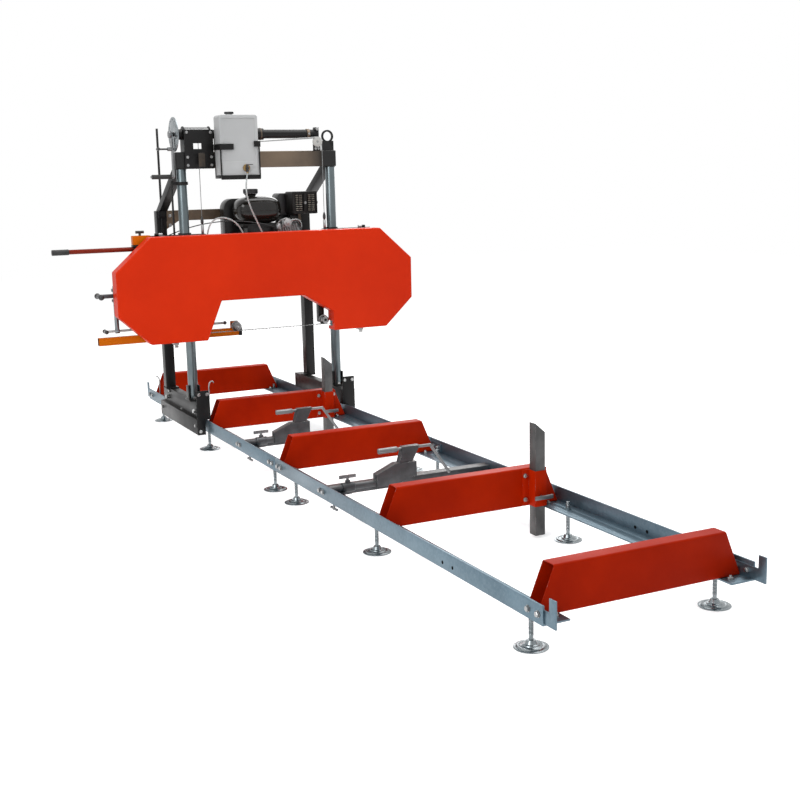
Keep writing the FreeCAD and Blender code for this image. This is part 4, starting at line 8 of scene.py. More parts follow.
# %% Load the frame
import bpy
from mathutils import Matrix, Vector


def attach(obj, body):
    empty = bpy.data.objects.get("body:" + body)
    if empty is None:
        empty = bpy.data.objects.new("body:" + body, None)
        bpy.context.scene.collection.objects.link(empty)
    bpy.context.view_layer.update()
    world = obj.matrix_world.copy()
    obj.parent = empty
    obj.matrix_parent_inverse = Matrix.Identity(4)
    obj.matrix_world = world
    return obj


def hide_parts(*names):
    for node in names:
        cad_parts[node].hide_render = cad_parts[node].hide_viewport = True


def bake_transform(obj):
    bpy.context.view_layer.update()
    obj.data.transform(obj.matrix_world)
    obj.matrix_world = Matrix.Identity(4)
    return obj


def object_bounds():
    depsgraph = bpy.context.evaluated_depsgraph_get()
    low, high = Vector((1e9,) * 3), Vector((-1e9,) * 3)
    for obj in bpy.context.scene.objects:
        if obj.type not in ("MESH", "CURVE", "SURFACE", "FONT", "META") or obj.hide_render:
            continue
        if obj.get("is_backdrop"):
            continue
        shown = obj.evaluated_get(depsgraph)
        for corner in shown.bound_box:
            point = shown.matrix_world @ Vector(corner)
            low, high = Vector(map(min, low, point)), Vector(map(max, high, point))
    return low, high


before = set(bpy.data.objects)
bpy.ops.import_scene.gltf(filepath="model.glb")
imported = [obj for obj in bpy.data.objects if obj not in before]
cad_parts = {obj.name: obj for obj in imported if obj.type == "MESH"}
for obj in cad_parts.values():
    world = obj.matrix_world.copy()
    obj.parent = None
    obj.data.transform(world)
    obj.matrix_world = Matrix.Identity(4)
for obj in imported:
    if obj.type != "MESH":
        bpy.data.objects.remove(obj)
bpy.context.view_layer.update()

# %% [markdown]
# The mill was drawn in millimetres from the middle of its track. `spot` turns such
# a drawing point into a place in the scene, so that every number below can be read
# off the same drawing.

# %% Tools for placing things
import math
import bmesh
import bpy
from mathutils import Matrix, Vector
from mathutils.bvhtree import BVHTree

DRAWING_X, DRAWING_Y = 157.5, 2440

def spot(x, y, z):
    return Vector(((x + DRAWING_X) / 1000, (y - DRAWING_Y) / 1000, z / 1000))

def put_in_scene(name, data, body=None, instead=None):
    """Links an object; it rides on a body, and may stand for a CAD piece."""
    piece = bpy.data.objects.new(name, data)
    bpy.context.scene.collection.objects.link(piece)
    if body:
        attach(piece, body)
    if instead:
        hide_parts(instead)
    return piece

def evaluated_mesh(piece):
    return bpy.data.meshes.new_from_object(piece.evaluated_get(bpy.context.evaluated_depsgraph_get()))

def circle(count, start=0.0):
    """The cosine and sine of evenly spaced angles."""
    return [(math.cos(a), math.sin(a)) for a in (math.tau * k / count + start for k in range(count))]

print("near end of the track:", [round(c, 3) for c in spot(0, 0, 0)])

# %% [markdown]
# ## The camera
# It stands to the left of the near end at a grown-up's eye height and looks down
# along the track. Its direction is written as a turn, a tilt and a small roll,
# which is how a tripod head is set. The 54 mm lens is a little longer than the eye's
# own view, so the near end of the track doesn't swell.

# %% Camera
turn, tilt, roll = 0.458532338, -0.183486206, -0.023152703
look = Vector((math.sin(turn) * math.cos(tilt), math.cos(turn) * math.cos(tilt), math.sin(tilt)))
side = Vector((math.cos(turn), -math.sin(turn), 0))
up = side.cross(look)
rolled_side = side * math.cos(roll) + up * math.sin(roll)
rolled_up = up * math.cos(roll) - side * math.sin(roll)
camera = put_in_scene("Camera", bpy.data.cameras.new("Camera"))
camera.data.lens, camera.data.sensor_width, camera.data.clip_end = 53.841, 36, 60
camera.matrix_world = Matrix.Translation(spot(-2481.793, -3106.67, 1577.466)) @ Matrix(
    (rolled_side, rolled_up, -look)).transposed().to_4x4()
bpy.context.scene.camera = camera
print("camera at", [round(c, 3) for c in camera.matrix_world.translation])

# %% [markdown]
# ## The water hose
# A clear 9 mm hose brings water from the tank's tap down to the blade, where it
# washes off sap. A curve is the natural tool: a few control points and a round bevel.
# The order is set after the points, or the run stays straight.

# %% Water hose
HOSE_THICK = 0.009
FALL = [(-128, 3582, 1630), (-146, 3590, 1540), (-96, 3650, 1424), (-28, 3705, 1321), (10, 3716, 1240)]
HEAD = [(10, 3716, 1237), (14, 3716, 1172), (-12, 3716, 1112), (-66, 3716, 1098), (-112, 3716, 1140),
        (-112, 3716, 1212), (-128, 3716, 1290), (-172, 3716, 1348), (-240, 3716, 1376), (-300, 3716, 1366),
        (-338, 3718, 1318), (-347, 3744, 1210), (-343, 3747, 1075), (-348, 3744, 945), (-344, 3747, 820),
        (-341, 3745, 768)]

def hose_curve(name, route, thick):
    line = bpy.data.curves.new(name, "CURVE")
    line.dimensions = "3D"
    spline = line.splines.new("NURBS")
    spline.points.add(len(route) - 1)
    for point, place in zip(spline.points, route):
        point.co = (*spot(*place), 1)
    spline.order_u = 3
    spline.use_endpoint_u = True
    spline.resolution_u = 10
    line.bevel_depth = thick / 2
    line.bevel_resolution = 4
    line.use_fill_caps = True
    return line

def mesh_of_curve(line):
    probe = put_in_scene("probe", line)
    mesh = evaluated_mesh(probe)
    bpy.data.objects.remove(probe)
    return mesh

def length_of(line):
    """The length of a curve's middle line, and the points along it."""
    plain = line.copy()
    plain.bevel_depth = 0
    mesh = mesh_of_curve(plain)
    bpy.data.curves.remove(plain)
    path = [v.co.copy() for v in mesh.vertices]
    return sum((path[e.vertices[0]] - path[e.vertices[1]]).length for e in mesh.edges), path

fall_line, head_line = hose_curve("HoseFall", FALL, HOSE_THICK), hose_curve("HoseHead", HEAD, HOSE_THICK)
fall_run, fall_path = length_of(fall_line)
head_run = length_of(head_line)[0]
print(f"hose: {fall_run:.3f} m from the tap, {head_run:.3f} m on the head")

# %% [markdown]
# ## Light and floor
# A pale floor and three large soft lamps show form without hard glare. The floor
# is white where the camera sees it directly and where polished metal mirrors it,
# and it still takes the mill's shadow. `link_up` adds any node in one line, and the
# short helpers after it stand for the nodes that turn up most.

# %% Node helpers
def link_up(tree, kind, settings=None, **inputs):
    """Adds a node; an input is a value, a socket to plug in, or a node whose first output is meant."""
    node = tree.nodes.new(kind)
    for key, value in (settings or {}).items():
        setattr(node, key, value)
    for key, value in inputs.items():
        socket = node.inputs[int(key[1:])] if key[1:].isdigit() else node.inputs[key.replace("_", " ")]
        if isinstance(value, bpy.types.Node):
            value = value.outputs[0]
        if isinstance(value, bpy.types.NodeSocket):
            tree.links.new(value, socket)
        else:
            socket.default_value = value
    return node

def maths(tree, operation, a, b=0.5, clamp=False):
    return link_up(tree, "ShaderNodeMath", {"operation": operation, "use_clamp": clamp}, i0=a, i1=b).outputs[0]

def ramp(tree, value, low=0.0, high=1.0, to=(0.0, 1.0)):
    return link_up(tree, "ShaderNodeMapRange", Value=value, From_Min=low, From_Max=high,
                   To_Min=to[0], To_Max=to[1]).outputs[0]

def noise(tree, scale, detail, rough, vector=None):
    return link_up(tree, "ShaderNodeTexNoise", Vector=vector or here(tree), Scale=scale, Detail=detail,
                   Roughness=rough).outputs[0]

def vector(tree, x=0.0, y=0.0, z=0.0):
    return link_up(tree, "ShaderNodeCombineXYZ", X=x, Y=y, Z=z).outputs[0]

def here(tree):
    return link_up(tree, "ShaderNodeTexCoord").outputs["Object"]

def blank_material(name):
    material = bpy.data.materials.new(name)
    material.use_nodes = True
    material.node_tree.nodes.clear()
    return material, material.node_tree
print("node helpers ready")

# %% Studio
def soft_lamp(name, place, aim, size, power):
    data = bpy.data.lights.new(name, "AREA")
    data.shape, data.size, data.energy = "SQUARE", size, power
    lamp = put_in_scene(name, data)
    lamp.location = place
    lamp.rotation_euler = (Vector(aim) - Vector(place)).to_track_quat("-Z", "Y").to_euler()

soft_lamp("WindowLamp", (-5.5, -3.5, 4.5), (0, 0.5, 0.6), 3.5, 210)
soft_lamp("CeilingLamp", (1.5, 0.5, 5.5), (0, 0.5, 0.5), 4.5, 190)
soft_lamp("BackLamp", (3.5, 5.5, 3.0), (0, 1.0, 0.8), 3.0, 85)

def seen_directly(tree):
    path = link_up(tree, "ShaderNodeLightPath").outputs
    plain = maths(tree, "MAXIMUM", path["Is Camera Ray"], path["Is Glossy Ray"])
    return maths(tree, "MAXIMUM", plain, path["Is Transmission Ray"])

AIR_UNSEEN, AIR_SEEN = 0.42, 1.0
bpy.context.scene.view_settings.view_transform = "Standard"
world = bpy.data.worlds.new("Studio")
bpy.context.scene.world = world
world.use_nodes = True
tree = world.node_tree
tree.nodes.clear()
strength = ramp(tree, seen_directly(tree), to=(AIR_UNSEEN, AIR_SEEN))
air = link_up(tree, "ShaderNodeBackground", Color=(1, 1, 1, 1), Strength=strength)
link_up(tree, "ShaderNodeOutputWorld", Surface=air)

floor_mesh = bpy.data.meshes.new("Floor")
floor_mesh.from_pydata([(-14, -9, 0), (14, -9, 0), (14, 16, 0), (-14, 16, 0)], [], [(0, 1, 2, 3)])
floor = put_in_scene("Floor", floor_mesh)
floor_paint, tree = blank_material("pale_floor")
lit = link_up(tree, "ShaderNodeBsdfDiffuse", Color=(0.9, 0.9, 0.9, 1))
glow = link_up(tree, "ShaderNodeEmission", Color=(1, 1, 1, 1), Strength=0.62)
both = link_up(tree, "ShaderNodeAddShader", i0=lit, i1=glow)
pick = link_up(tree, "ShaderNodeMixShader", i0=seen_directly(tree), i1=lit, i2=both)
link_up(tree, "ShaderNodeOutputMaterial", Surface=pick)
floor_mesh.materials.append(floor_paint)
floor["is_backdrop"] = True
print("studio: 3 lamps, one floor")

# %% [markdown]
# ## Shared surface effects
# Four effects turn up on many finishes, so each is a node group that is built once
# and placed wherever it is wanted: rubbed edges where paint wears through, dust
# that settles on upward faces, uneven tone over a large area, and the fine skin
# of a surface. Each gives only a mask or a height; the shader stays outside.

# %% Node groups
def start_group(name, inputs, output):
    group = bpy.data.node_groups.new(name, "ShaderNodeTree")
    for label, value in inputs.items():
        socket = group.interface.new_socket(label, in_out="INPUT", socket_type="NodeSocketFloat")
        socket.default_value = value
    group.interface.new_socket(output, in_out="OUTPUT", socket_type="NodeSocketFloat")
    return group, group.nodes.new("NodeGroupInput").outputs

def end_group(group, result):
    group.links.new(result, group.nodes.new("NodeGroupOutput").inputs[0])

rubbed_edges, given = start_group("RubbedEdges", {"Radius": 0.003, "Amount": 0.5, "Patch Scale": 22}, "Mask")
t = rubbed_edges
soft = link_up(t, "ShaderNodeBevel", {"samples": 4}, Radius=given["Radius"])
true = link_up(t, "ShaderNodeNewGeometry").outputs["Normal"]
agree = link_up(t, "ShaderNodeVectorMath", {"operation": "DOT_PRODUCT"}, i0=soft, i1=true)
edge = ramp(t, agree.outputs["Value"], 0.995, 0.86)
spread = ramp(t, noise(t, given["Patch Scale"], 5, 0.65), 0.5, 0.66)
end_group(t, maths(t, "MULTIPLY", maths(t, "MULTIPLY", edge, spread), given["Amount"], clamp=True))

settled_dust, given = start_group("SettledDust", {"Amount": 0.3, "Scale": 9}, "Mask")
t = settled_dust
facing = link_up(t, "ShaderNodeSeparateXYZ", i0=link_up(t, "ShaderNodeNewGeometry").outputs["Normal"])
upward = ramp(t, facing.outputs["Z"], 0.55, 1.0)
cloud = ramp(t, noise(t, given["Scale"], 6, 0.7), 0.38, 0.72)
end_group(t, maths(t, "MULTIPLY", maths(t, "MULTIPLY", upward, cloud), given["Amount"], clamp=True))

uneven_tone, given = start_group("UnevenTone", {"Scale": 3, "Contrast": 0.5}, "Mask")
t = uneven_tone
centred = maths(t, "SUBTRACT", noise(t, given["Scale"], 7, 0.6), 0.5)
end_group(t, maths(t, "ADD", maths(t, "MULTIPLY", centred, given["Contrast"]), 0.5, clamp=True))

fine_skin, given = start_group("FineSkin", {"Scale": 900, "Stretch X": 1, "Stretch Y": 1, "Stretch Z": 1}, "Height")
t = fine_skin
stretch = vector(t, *(given["Stretch " + axis] for axis in "XYZ"))
pulled = link_up(t, "ShaderNodeVectorMath", {"operation": "MULTIPLY"}, i0=here(t), i1=stretch)
end_group(t, noise(t, given["Scale"], 2, 0.5, pulled.outputs[0]))
print("node groups:", [g.name for g in bpy.data.node_groups])

# %% [markdown]
# ## The finishes
# `finish` is the recipe every metal or plastic here shares: a colour that drifts
# between two tones, rubbed edges that show what lies under it, a little dust on
# top, and a bump for its skin. Powder coat on a hood wants a faint orange peel
# and almost no wear; a clamp that meets logs every day wants a lot. A colour may be
# given as one number, which is a grey.

# %% Finish recipe
COAT_ROUGH, DUST_ROUGH, BUMP_DEPTH = 0.12, 0.85, 0.001
DUST = (0.52, 0.47, 0.4)

def mixed(tree, mask, low, high):
    """The colour `low` where the mask is 0 and `high` where it is 1; each is a socket, a colour or a grey."""
    node = link_up(tree, "ShaderNodeMix", {"data_type": "RGBA"}, i0=mask)
    for index, value in ((6, low), (7, high)):
        if isinstance(value, bpy.types.NodeSocket):
            tree.links.new(value, node.inputs[index])
        else:
            node.inputs[index].default_value = (*(value if isinstance(value, tuple) else (value,) * 3), 1)
    return node.outputs[2]

def group_node(tree, group, **inputs):
    node = tree.nodes.new("ShaderNodeGroup")
    node.node_tree = group
    for key, value in inputs.items():
        node.inputs[key.replace("_", " ")].default_value = value
    return node.outputs[0]

def finish(name, dark, light, rough=(0.3, 0.45), metallic=0.0, coat=0.0, tone=(3, 1.6),
           wear=0.0, wear_radius=0.003, under=(0.35, 0.34, 0.33), under_metal=0.9,
           dust=0.0, skin=900, pull=(1, 1, 1), bump=0.05, **more):
    material, tree = blank_material(name)
    if coat:
        more.update(Coat_Weight=coat, Coat_Roughness=COAT_ROUGH)
    shader = link_up(tree, "ShaderNodeBsdfPrincipled", Metallic=metallic, **more)
    drift = group_node(tree, uneven_tone, Scale=tone[0], Contrast=tone[1])
    colour = mixed(tree, drift, dark, light)
    roughness = ramp(tree, drift, to=(rough[1], rough[0]))
    if wear:
        worn = group_node(tree, rubbed_edges, Radius=wear_radius, Amount=wear)
        colour = mixed(tree, worn, colour, under)
        if metallic != under_metal:
            tree.links.new(ramp(tree, worn, to=(metallic, under_metal)), shader.inputs["Metallic"])
    if dust:
        lying = group_node(tree, settled_dust, Amount=dust)
        colour = mixed(tree, lying, colour, DUST)
        roughness = ramp(tree, lying, to=(roughness, DUST_ROUGH))
    tree.links.new(colour, shader.inputs["Base Color"])
    tree.links.new(roughness, shader.inputs["Roughness"])
    grit = group_node(tree, fine_skin, Scale=skin, Stretch_X=pull[0], Stretch_Y=pull[1], Stretch_Z=pull[2])
    relief = link_up(tree, "ShaderNodeBump", Strength=bump, Distance=BUMP_DEPTH, Height=grit)
    tree.links.new(relief.outputs[0], shader.inputs["Normal"])
    link_up(tree, "ShaderNodeOutputMaterial", Surface=shader)
    return material

def overpaint(material, mask, colour):
    """Lays a colour over a finished material where the mask is 1."""
    tree = material.node_tree
    base = next(n for n in tree.nodes if n.type == "BSDF_PRINCIPLED").inputs["Base Color"]
    tree.links.new(mixed(tree, mask, base.links[0].from_socket, colour), base)
print("finish recipe ready")

# %% [markdown]
# ### Paints
# The hood and the cross beams are powder coated red, the hood a little more orange
# and glossier. The frame is black, with a painted warm bronze reflection on its cross
# beams; the guide arm is a yellow orange, and the push handle a darker red gloss that hands keep clean.

# %% Paints
COATED = dict(skin=450, bump=0.1)
# bronze-tinted black used for painted warm reflections on black steel
BRONZE_SHEEN = dict(COATED, metallic=0.35, under=(0.3, 0.27, 0.24))
hood_red = finish("hood_red", (0.62, 0.022, 0.001), (0.80, 0.034, 0.002), (0.38, 0.5), tone=(1.3, 1.8),
                  wear=0.55, wear_radius=0.002, dust=0.03, skin=500, bump=0.08, Specular_IOR_Level=0.14)
beam_red = finish("beam_red", (0.33, 0.010, 0.0), (0.54, 0.021, 0.0), (0.4, 0.54), tone=(2.2, 2.4),
                  wear=0.7, dust=0.03, Specular_IOR_Level=0.06, **COATED)
frame_black = finish("frame_black", (0.004, 0.004, 0.005), (0.012, 0.0115, 0.011), (0.3, 0.46), tone=(3.5, 2.2),
                     wear=0.8, under=(0.2, 0.19, 0.18), dust=0.05, Specular_IOR_Level=0.22, **COATED)
# A bronze tone on black steel: painted warm reflection, with rubbed edges on top.
beam_bronze = finish("beam_bronze", (0.016, 0.013, 0.011), (0.175, 0.125, 0.082), (0.3, 0.5), tone=(2.6, 3.4),
                     wear=0.6, dust=0.06, **BRONZE_SHEEN)
arm_orange = finish("arm_orange", (0.58, 0.125, 0.0), (0.74, 0.175, 0.001), (0.34, 0.48), tone=(5, 1.8),
                    wear=0.7, dust=0.04, Specular_IOR_Level=0.1, **COATED)
handle_red = finish("handle_red", (0.15, 0.012, 0.003), (0.24, 0.018, 0.005), (0.3, 0.42), tone=(6, 1.8),
                    wear=0.5, dust=0.02, skin=600, Specular_IOR_Level=0.16)
engine_black = finish("engine_black", 0.006, 0.016, (0.2, 0.34), tone=(9, 1.8), wear=0.45, wear_radius=0.0015,
                      under=0.25, dust=0.12, skin=700, Specular_IOR_Level=0.3)
print("paints:", [m.name for m in (hood_red, beam_red, frame_black, beam_bronze, arm_orange, handle_red, engine_black)])

# %% [markdown]
# ### Zinc and steel
# The rails are hot-dip galvanised, which leaves a cold blue grey with faint
# crystals, the spangle. The columns are zinc too, but drawn smooth. Clamps and
# posts are bare hot-rolled steel, darker and rougher. Spangle is a Voronoi cell
# pattern laid thinly over the colour. The top beam's bronze middle is a painted warm
# reflection on black steel, which fades to plain black toward the beam's ends.

# %% Metals
SPANGLE_SCALE, SPANGLE_VEIL = 95, 0.14
# where the top beam's painted bronze reflection fades out toward its ends
BEAM_MIDDLE, SHEEN_FADE_FROM, SHEEN_GONE_AT = 0.156, 0.3, 0.42
rail_zinc = finish("rail_zinc", (0.075, 0.12, 0.155), (0.15, 0.225, 0.275), (0.3, 0.46), metallic=0.75,
                   tone=(2.4, 1.8), wear=0.4, under=(0.5, 0.51, 0.52), dust=0.06, skin=300, bump=0.06)
t = rail_zinc.node_tree
cells = link_up(t, "ShaderNodeTexVoronoi", Vector=here(t), Scale=SPANGLE_SCALE)
crystal = link_up(t, "ShaderNodeSeparateColor", i0=cells.outputs["Color"])
overpaint(rail_zinc, ramp(t, crystal, to=(0.0, SPANGLE_VEIL)), (0.3, 0.37, 0.42))

bright_zinc = finish("bright_zinc", (0.17, 0.195, 0.205), (0.30, 0.33, 0.345), (0.2, 0.34), metallic=0.9,
                     tone=(8, 1.8), dust=0.05, skin=700, pull=(1, 1, 0.04), bump=0.06)
column_zinc = finish("column_zinc", (0.085, 0.11, 0.12), (0.17, 0.2, 0.21), (0.24, 0.38), metallic=0.85,
                     tone=(4, 2), dust=0.04, skin=700, pull=(1, 1, 0.03), bump=0.07)
clamp_steel = finish("clamp_steel", (0.045, 0.046, 0.05), (0.1, 0.104, 0.11), (0.34, 0.55), metallic=0.6,
                     tone=(14, 2.2), wear=1.0, wear_radius=0.004, under=(0.55, 0.55, 0.54), dust=0.2, skin=350, bump=0.15)
dog_steel = finish("dog_steel", (0.15, 0.155, 0.16), (0.27, 0.275, 0.28), (0.28, 0.5), metallic=0.8,
                   tone=(16, 2.2), wear=0.8, under=(0.72, 0.72, 0.71), dust=0.12, skin=300, bump=0.12)
post_steel = finish("post_steel", 0.06, 0.125, (0.36, 0.56), metallic=0.55,
                    tone=(9, 2.2), wear=0.9, under=(0.5, 0.5, 0.49), dust=0.25, skin=350, bump=0.12)
polished_steel = finish("polished_steel", (0.14, 0.14, 0.142), (0.26, 0.26, 0.262), (0.2, 0.34), metallic=1.0,
                        tone=(12, 1.8), skin=500, pull=(1, 0.1, 1))
wheel_iron = finish("wheel_iron", (0.06, 0.06, 0.063), (0.13, 0.13, 0.133), (0.38, 0.55), metallic=0.7,
                    tone=(9, 2), wear=0.9, under=0.6, dust=0.15, skin=260, bump=0.25)
cast_alloy = finish("cast_alloy", (0.4, 0.405, 0.41), (0.6, 0.605, 0.61), (0.36, 0.52), metallic=0.8,
                    tone=(14, 2), wear=0.5, under=0.8, dust=0.2, skin=420, bump=0.3)
# The top beam's bronze tone is a painted warm reflection on black steel; the mask below fades it to plain black toward
# the ends of the beam.
top_steel = finish("top_steel", (0.10, 0.075, 0.055), (0.2, 0.145, 0.098), (0.3, 0.5), tone=(3, 2.6),
                   wear=0.5, dust=0.05, **BRONZE_SHEEN)
t = top_steel.node_tree
across = maths(t, "SUBTRACT", link_up(t, "ShaderNodeSeparateXYZ", i0=here(t)).outputs[0], BEAM_MIDDLE)
overpaint(top_steel, ramp(t, maths(t, "ABSOLUTE", across), SHEEN_FADE_FROM, SHEEN_GONE_AT), 0.008)
bolt_zinc = finish("bolt_zinc", (0.26, 0.265, 0.27), (0.42, 0.42, 0.415), (0.2, 0.36), metallic=0.95,
                   tone=(40, 2), skin=700)
tap_brass = finish("tap_brass", (0.17, 0.11, 0.045), (0.33, 0.22, 0.09), (0.22, 0.4), metallic=0.95,
                   tone=(60, 2), wear=0.5, under=(0.8, 0.6, 0.3), skin=500, bump=0.06)
heat_black = finish("heat_black", 0.006, (0.016, 0.015, 0.014), (0.42, 0.62), tone=(10, 2),
                    wear=0.4, dust=0.08, skin=380, bump=0.3, Specular_IOR_Level=0.3)
print("metals:", len(bpy.data.materials))

# %% [markdown]
# ### Plastic, rubber and the clear hose
# The tank is blow-moulded natural polyethylene: white, a little see-through, waxy.
# Subsurface scattering gives that milky depth. The hose is soft clear vinyl that
# reads as pale grey. Grips are black rubber with a matte skin.

# %% Plastics
tank_white = finish("tank_white", (0.46, 0.47, 0.475), (0.57, 0.58, 0.585), (0.34, 0.46), tone=(2.5, 1.8), dust=0.06,
                    skin=260, bump=0.12, Subsurface_Weight=0.25, Subsurface_Radius=(0.02, 0.02, 0.02), Subsurface_Scale=0.4)
hose_clear = finish("hose_clear", (0.55, 0.58, 0.58), (0.70, 0.73, 0.73), (0.14, 0.26), tone=(30, 1.6),
                    bump=0.03, Transmission_Weight=0.35, IOR=1.45)
grip_black = finish("grip_black", 0.012, 0.03, (0.55, 0.75), tone=(20, 2), dust=0.15, skin=1200, bump=0.3)
knob_black = finish("knob_black", (0.012, 0.012, 0.013), (0.026, 0.026, 0.028), (0.28, 0.42), tone=(20, 1.8), dust=0.12,
                    skin=1000, bump=0.08)
belt_rubber = finish("belt_rubber", 0.014, (0.035, 0.034, 0.033), (0.6, 0.8), tone=(25, 2), dust=0.2, bump=0.4)
roller_white = finish("roller_white", (0.45, 0.45, 0.43), (0.56, 0.56, 0.54), (0.3, 0.42), tone=(20, 1.6), skin=500)
print("finishes in all:", len(bpy.data.materials))

# %% [markdown]
# ## Dressing the CAD pieces
# Every piece gets its finish, and most are also copied: the loose triangles are joined,
# flat areas are merged into clean faces, sharp edges are softened by a millimetre or
# two as real steel tube is, and each face takes the finish of the region it lies in.
# The copy then stands for its CAD piece.

# %% One finish each
ONE_FINISH = {
    rail_zinc: "rails rail_fittings",
    bright_zinc: "levelling_feet",
    clamp_steel: "clamp_members clamp_near clamp_far",
    dog_steel: "dog_near dog_far clamp_wing_near clamp_wing_far stop_wing_near stop_wing_far",
    post_steel: "log_stop_near log_stop_far",
    beam_red: "stop_sleeves",
    wheel_iron: "wheel_front_left wheel_rear_left wheel_front_right wheel_rear_right drive_wheel idler_wheel "
                "engine_pulley",
    polished_steel: "tension_block roller_left roller_right blade arm_lock tension_handle",
    bolt_zinc: "latch_left latch_right",
    roller_white: "cable_pulley",
    grip_black: "crank_grip recoil",
    knob_black: "tank_cap push_knob fuel_cap air_cleaner index_pin tap_lever",
    belt_rubber: "belt",
    heat_black: "muffler",
    engine_black: "fuel_tank throttle",
    frame_black: "tank_frame",
}
finish_of = {name: material for material, names in ONE_FINISH.items() for name in names.split()}
for name, material in finish_of.items():
    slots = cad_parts[name].data.materials
    for index in range(len(slots)):
        slots[index] = material
    if not len(slots):
        slots.append(material)
print("one finish:", len(finish_of), "CAD pieces")

# %% Tools for copies
SAME_PLACE, ZONE_SLACK = 2e-6, 5e-4
FLAT, SMOOTH_BELOW = math.radians(0.3), math.radians(28)

def holds(zone, verts):
    """Whether all vertices lie in a zone (x0, x1, y0, y1, z0, z1) of the drawing."""
    low, high = spot(*zone[0::2]), spot(*zone[1::2])
    return all(low[i] - ZONE_SLACK <= v.co[i] <= high[i] + ZONE_SLACK for v in verts for i in range(3))

def cad_copy(node, wanted=None):
    """A CAD mesh, joined and with clean faces; `wanted` says which of its loose islands stay."""
    work = bmesh.new()
    work.from_mesh(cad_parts[node].data)
    bmesh.ops.remove_doubles(work, verts=work.verts, dist=SAME_PLACE)
    left, unwanted = set(work.verts) if wanted else set(), []
    while left:
        island, reach = [], [left.pop()]
        while reach:
            vert = reach.pop()
            island.append(vert)
            near = [n for n in (e.other_vert(vert) for e in vert.link_edges) if n in left]
            left.difference_update(near)
            reach += near
        if not wanted(island):
            unwanted += island
    bmesh.ops.delete(work, geom=unwanted, context="VERTS")
    bmesh.ops.dissolve_limit(work, angle_limit=FLAT, verts=work.verts, edges=work.edges)
    return work

def soften_edges(work, width, above):
    """Rounds the outer edges that are sharper than an angle in degrees."""
    sharp = [e for e in work.edges if len(e.link_faces) == 2 and e.is_convex
             and e.calc_face_angle(0) > math.radians(above)]
    bmesh.ops.bevel(work, geom=sharp, offset=width, segments=2, profile=0.5, affect="EDGES", clamp_overlap=True)

def shade_smooth(mesh, crisp_above=None):
    mesh.polygons.foreach_set("use_smooth", [True] * len(mesh.polygons))
    if crisp_above:
        mesh.set_sharp_from_angle(angle=math.radians(crisp_above))

def finished(name, work, body, materials, instead=None, crisp_above=None):
    """Turns a worked mesh into a piece that rides on its body."""
    mesh = bpy.data.meshes.new(name)
    work.to_mesh(mesh)
    work.free()
    for material in materials:
        mesh.materials.append(material)
    shade_smooth(mesh, crisp_above)
    put_in_scene(name, mesh, body, instead)
    print(f"{name}: {len(mesh.polygons)} faces")

def dressed(node, body, main, zones=(), soften=0.0, skip=None, name=None):
    """A joined, softened copy of a CAD piece; zones are (finish, zone of the drawing)."""
    work = cad_copy(node, skip and (lambda island: not holds(skip, island)))
    if soften:
        soften_edges(work, soften, 35)
    kinds = list(dict.fromkeys([main] + [kind for kind, zone in zones]))
    for face in work.faces:
        face.material_index = next((kinds.index(kind) for kind, zone in zones if holds(zone, face.verts)), 0)
    for edge in work.edges:
        edge.smooth = len(edge.link_faces) == 2 and edge.calc_face_angle(0) < SMOOTH_BELOW
    finished(name or "".join(w.capitalize() for w in node.split("_")), work, body, kinds, node)
print("copy tools ready")

# %% Copies with several finishes
for word, x0, x1 in (("left", -520, -380), ("right", 380, 520)):
    dressed("side_member_" + word, "carriage", frame_black,
            [(bolt_zinc, (x0, x1, y, y + 40, 225, 265)) for y in (3670, 4250)], 0.0012, name="SideMember_" + word)
# The rear cross beam's bronze zone is painted warm reflection on the black frame.
dressed("rear_frame", "carriage", frame_black,
        [(grip_black, (-500, -450, 4190, 4222, 1415, 1910)), (beam_bronze, (-510, 510, 4205, 4280, 1295, 1415))],
        0.0025)
dressed("top_beam", "carriage", top_steel, [(frame_black, (420, 502, 3730, 3800, 1742, 1880))], 0.0025)
dressed("columns", "carriage", column_zinc,
        [(frame_black, (-536, -505, 3740, 3790, 695, 1595)), (frame_black, (-540, -425, 3720, 3810, 1500, 1600))],
        0.0008)
dressed("winch_housing", "carriage", frame_black,
        [(bright_zinc, (-506, -497, 3660, 3870, 1750, 1960)), (bolt_zinc, (-420, 420, 3722, 3730, 1650, 1852)),
         (bolt_zinc, (350, 410, 3715, 3731, 1770, 1850))], 0.0008)
dressed("winch", "winch", frame_black,
        [(dog_steel, (-660, -508, 3660, 3870, 1590, 1960)), (bright_zinc, (-330, 400, 3750, 3782, 1838, 1866))],
        0.0008)
dressed("water_tank", "carriage", tank_white, [(knob_black, (-160, -100, 3560, 3604, 1600, 1700))], 0.009)
dressed("bunks", "track", beam_red, soften=0.0015)
dressed("guide_arm", "guide_arm", arm_orange,
        [(bolt_zinc, (-250, -170, 3600, 3696, 700, 760)), (frame_black, (-175, -168, 3690, 3735, 670, 725)),
         (frame_black, (-250, -180, 3696, 3740, 719.5, 770))], 0.0015)
dressed("push_handle", "push_handle", handle_red, [(grip_black, (-1245, -1146, 3700, 3750, 1190, 1235))], 0.0015)

# %% [markdown]
# The pieces with one finish get the same treatment: round parts are shaded smooth and
# sharp corners are broken, so that light catches them as it does on real steel. The
# table gives the softening in millimetres; under None each piece is its own body.

